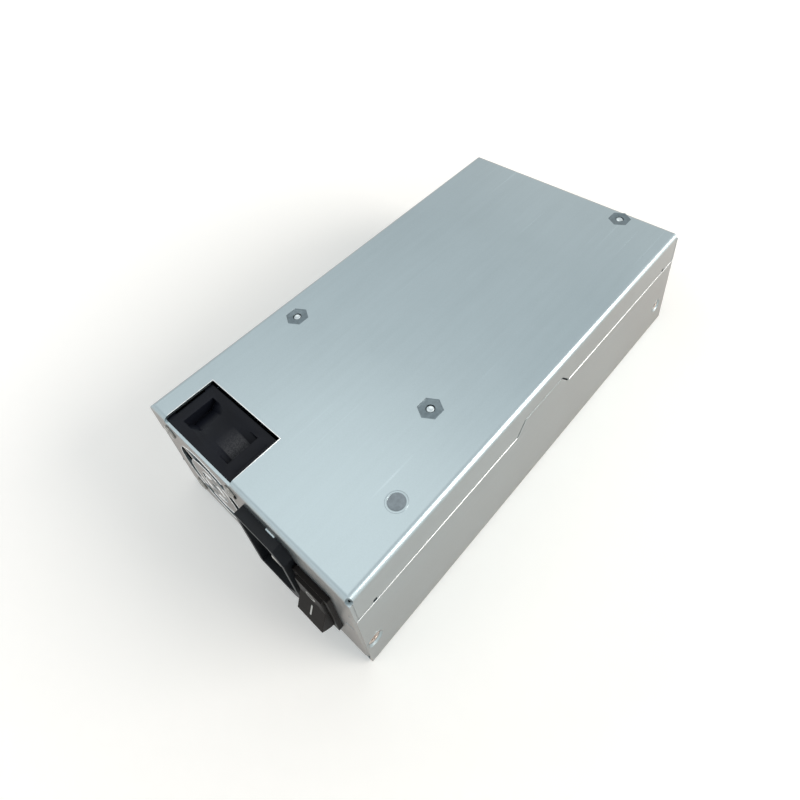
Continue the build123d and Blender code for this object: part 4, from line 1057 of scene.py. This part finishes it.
# marks on the rocker
rockerSet = {
    "pivot": (0.02565, -0.0738, 0.0186),
    "tilt": 12.0,
    "dish": 11.7,
    "middle": 0.0035,
    "markCentre": 0.0031,
    "markWidth": 0.0005,
    "markHeight": 0.0034,
    "markThick": 0.00008,
    "markRound": 0.00018,
    "faceSteps": ((0.00004, 0.00001),),
    "ringRadius": 0.0014,
    "ringTube": 0.000252,
    "ringStretch": 1.12,
    "ringRise": 0.00001,
}


def rockerFacet(look, half):
    # a matrix from a flat piece to a half of the rocker's face, +Z out of the face, +Y up it
    tilt = math.radians(look["tilt"])
    outward = Vector((0, -math.cos(tilt), math.sin(tilt)))
    upward = Vector((0, math.sin(tilt), math.cos(tilt)))
    dish = math.radians(look["dish"])
    along = (upward * half * math.cos(dish) + outward * math.sin(dish)) * half
    normal = outward * math.cos(dish) - upward * half * math.sin(dish)
    sideways = along.cross(normal)
    start = Vector(look["pivot"]) + outward * look["middle"]
    centre = start + (along * half) * look["markCentre"]
    matrix = Matrix((sideways, along, normal)).transposed().to_4x4()
    return Matrix.Translation(centre) @ matrix


def modelOnMark(look):
    half = Vector((look["markWidth"], look["markHeight"], look["markThick"])) / 2
    mark = block(-half, half)
    edit(mark)
    takeEdges(mark, lambda a, b: abs(a.z - b.z) > half.z)
    bpy.ops.mesh.bevel(offset=look["markRound"], segments=3)
    stepTop(mark, look["faceSteps"])
    smooth(mark, 40)
    return mark


def modelOffMark(look):
    tube = look["ringTube"]
    clearAll()
    bpy.ops.mesh.primitive_torus_add(
        major_radius=look["ringRadius"], minor_radius=tube, major_segments=40, minor_segments=8
    )
    mark = bpy.context.object
    mark.scale = (1, look["ringStretch"], look["markThick"] / (2 * tube))
    settle(mark)
    edit(mark)
    takeFaces(mark, lambda middle, normal: normal.z > 0.8)
    shift(look["ringRise"])
    smooth(mark, 60)
    return mark


for name, modelled, half in (("rockerOnMark", modelOnMark, -1), ("rockerOffMark", modelOffMark, 1)):
    mark = modelled(rockerSet)
    mark.name = name
    mark.data.transform(rockerFacet(rockerSet, half))
    finished(mark, "switch_plastic", "rocker", "rocker_mark_paint")
print("stage: rocker marks")

# edges of the punched openings: the grille, then the window, in a pale finish that paints highlights along
# them
grilleSet = {
    "radii": (0.015, 0.0102, 0.0056, 0.0045),
    "bridges": 4,
    "bridge": 0.0026,
    "turn": 38.0,
    "tube": 0.00016,
    "arcStep": 3,  # degrees
    "weld": 0.000002,
}


def modelGrilleEdge(look, radius, start, sweep):
    # a rolled edge along one arc of a slot, spun from a small ring; its pale finish paints a highlight there
    centre = Vector(fanCentre)
    first = centre + Vector((math.cos(start), 0, math.sin(start))) * radius
    clearAll()
    bpy.ops.mesh.primitive_circle_add(vertices=8, radius=look["tube"], fill_type="NGON")
    edge = bpy.context.object
    edge.data.transform(Matrix.Translation(first) @ Matrix.Rotation(start, 4, "Y").inverted())
    edit(edge)
    bpy.ops.mesh.select_all(action="SELECT")
    steps = max(4, int(math.degrees(sweep) / look["arcStep"]))
    bpy.ops.mesh.spin(steps=steps, angle=sweep, center=centre, axis=(0, -1, 0), dupli=False)
    mendMesh(look["weld"])
    bpy.ops.object.mode_set(mode="OBJECT")
    return edge


arcs = []
sector = 2 * math.pi / grilleSet["bridges"]
for radius in grilleSet["radii"]:
    gap = math.asin(grilleSet["bridge"] / 2 / radius)
    for bridge in range(grilleSet["bridges"]):
        start = math.radians(grilleSet["turn"]) + bridge * sector + gap
        arcs.append(modelGrilleEdge(grilleSet, radius, start, sector - 2 * gap))
clearAll()
for arc in arcs:
    arc.select_set(True)
bpy.context.view_layer.objects.active = arcs[0]
bpy.ops.object.join()
grilleEdges = bpy.context.object
grilleEdges.name = "grilleEdges"
smooth(grilleEdges, 60)
finished(grilleEdges, "galvanised_steel", "case", "cut_edge_painted_highlight")
print("stage: grille edges")

windowSet = {
    "left": -0.03315,
    "right": -0.00265,
    "rear": -0.05815,
    "foldEnd": -0.0734,  # the rim starts behind the fold
    "rim": 0.00022,
    "thickness": 0.00012,
    "softEdge": 0.000048,
}


def modelWindowRim(look):
    # the burr that the punch leaves round the window, on its two sides and its rear edge, pale so that it
    # paints a highlight along them
    front = -caseSize["wall"]
    middle = ((look["left"] + look["right"]) / 2, (front + look["rear"]) / 2, caseSize["top"])
    clearAll()
    bpy.ops.mesh.primitive_plane_add(size=1, location=middle)
    rim = bpy.context.object
    rim.scale = (look["right"] - look["left"] + 2 * look["rim"], look["rear"] - front + 2 * look["rim"], 1)
    settle(rim)
    edit(rim)
    bpy.ops.mesh.select_all(action="SELECT")
    bpy.ops.mesh.inset(thickness=look["rim"])
    bpy.ops.mesh.delete(type="FACE")
    takeFaces(rim, lambda centre, normal: centre.y < front)
    bpy.ops.mesh.delete(type="FACE")
    bpy.ops.mesh.select_all(action="SELECT")
    bpy.ops.mesh.bisect(plane_co=(0, look["foldEnd"], 0), plane_no=(0, 1, 0), clear_inner=True)
    addModifier(rim, "SOLIDIFY", thickness=look["thickness"], offset=0)
    soften(rim, look["softEdge"])
    smooth(rim, 50)
    return rim


windowRim = modelWindowRim(windowSet)
windowRim.name = "windowRim"
finished(windowRim, "zinc_screw", "case", "cut_edge_painted_highlight")
print("stage: window rim")

# snap tongue over the inlet
tongueSet = {
    "left": 0.0101,
    "right": 0.0135,
    "bottom": 0.0336,
    "rise": 0.00034,
    "proud": 0.0004,
    "sunk": 0.0002,
    "round": 0.0002,
}


def modelTongue(look):
    wall = -caseSize["wall"]
    low = (look["left"], wall - look["proud"], look["bottom"])
    high = (look["right"], wall + look["sunk"], look["bottom"] + look["rise"])
    tongue = block(low, high)
    edit(tongue)
    takeEdges(tongue, lambda a, b: max(a.y, b.y) < wall)
    bpy.ops.mesh.bevel(offset=look["round"], segments=3)
    smooth(tongue, 40)
    return tongue


tongue = modelTongue(tongueSet)
tongue.name = "inletTongue"
finished(tongue, "galvanised_steel", "case")
print("stage: inlet tongue")

# floor, light and surroundings
studioSet = {
    "floorSize": 6,
    "floorDrop": 0.0001,
    "backdrop": ((0.6, 0.6), (0.2, 3)),  # each stretch's run back and rise
    "floorColour": (0.93, 0.912, 0.885),
    "paperScale": 300,
    "paperBand": (0.3, 0.7),
    "paperTones": (0.985, 1.01),
    "paperBump": 0.1,
    "paperDepth": 0.0001,
    "floorGlow": 0.17,
    "farGlow": 0.4,
    "farStart": 0.1,
    "farEnd": 0.3,
    "skyColour": (0.935, 0.98, 0.995),
    "skyLight": 0.55,
    "skySeen": 1.0,
    "lampAim": (0, 0, 0.02),
    "lamps": {  # place, width, power, tint
        "keyLamp": ((0.70, 0.38, 0.38), 0.6, 7.2, (1.0, 0.95, 0.88)),
        "frontLamp": ((-0.38, -0.70, 0.38), 0.5, 0.2, (1.0, 0.98, 0.95)),
        "topLamp": ((-0.26, -0.01, 0.80), 0.7, 0.8, (1.0, 0.975, 0.93)),
    },
}


def modelFloor(look):
    clearAll()
    bpy.ops.mesh.primitive_plane_add(size=look["floorSize"], location=(0, 0, -look["floorDrop"]))
    floor = bpy.context.object
    floor.name = "studioFloor"
    settle(floor)
    edit(floor)
    takeEdges(floor, lambda a, b: min(a.y, b.y) > look["floorSize"] * 0.49)
    for back, rise in look["backdrop"]:
        extrude(rise, back)
    smooth(floor, 80)
    return floor


def seenRays(made):
    # above 0 for what the camera sees, straight, mirrored or through glass
    rays = made.add("ShaderNodeLightPath", {}, {}, "Is Camera Ray")
    outputs = rays.socket.node.outputs
    return rays + Flow(made, outputs["Is Glossy Ray"]) + Flow(made, outputs["Is Transmission Ray"])


floorFinish = Finish("studio_floor", {"Roughness": 0.8})
paper = floorFinish.noise(studioSet["paperScale"], 4, 0.6)
paperShare = paper.step(*studioSet["paperBand"])
floorColour = floorFinish.toned(paperShare, studioSet["floorColour"], *studioSet["paperTones"])
floorNormal = floorFinish.bumped(paper, studioSet["paperBump"], studioSet["paperDepth"])
floorFinish.feed(colour=floorColour, normal=floorNormal)
away = floorFinish.add("ShaderNodeVectorMath", {"operation": "LENGTH"}, {0: floorFinish.place}, "Value")
away = away.step(studioSet["farStart"], studioSet["farEnd"])
glowLevel = seenRays(floorFinish).step(0, 1) * (studioSet["floorGlow"] + away * studioSet["farGlow"])
glow = floorFinish.add("ShaderNodeEmission", {}, {"Color": (1, 1, 1, 1), "Strength": glowLevel})
paint = Flow(floorFinish, floorFinish.shader.outputs[0])
surface = floorFinish.add("ShaderNodeAddShader", {}, {0: glow, 1: paint})
floorFinish.tree.links.new(surface.socket, floorFinish.tree.nodes["Material Output"].inputs["Surface"])
floor = modelFloor(studioSet)
floor.data.materials.append(floorFinish.material)

world = bpy.data.worlds.new("studioWorld")
bpy.context.scene.world = world
world.use_nodes = True
sky = Nodes(world.node_tree)
background = sky.tree.nodes["Background"]
cameraRays = sky.add("ShaderNodeLightPath", {}, {}, "Is Camera Ray")
skyColour = sky.mixed(cameraRays, shade(studioSet["skyColour"]), (1, 1, 1, 1))
sky.tree.links.new(skyColour.socket, background.inputs["Color"])
skySeen = seenRays(sky).step(0, 1)
skyStrength = studioSet["skyLight"] + skySeen * (studioSet["skySeen"] - studioSet["skyLight"])
sky.tree.links.new(skyStrength.socket, background.inputs["Strength"])


def addLamp(name, place, size, power, tint):
    lampData = bpy.data.lights.new(name, "AREA")
    lampData.shape = "DISK"
    lampData.size = size
    lampData.energy = power
    lampData.color = tint
    lamp = bpy.data.objects.new(name, lampData)
    bpy.context.scene.collection.objects.link(lamp)
    lamp.location = place
    aim = Vector(studioSet["lampAim"]) - Vector(place)
    lamp.rotation_euler = aim.to_track_quat("-Z", "Y").to_euler()


for lampName, lampValues in studioSet["lamps"].items():
    addLamp(lampName, *lampValues)
bpy.context.scene.view_settings.view_transform = "Standard"
print("stage: floor and light")

clearAll()
bpy.context.view_layer.update()
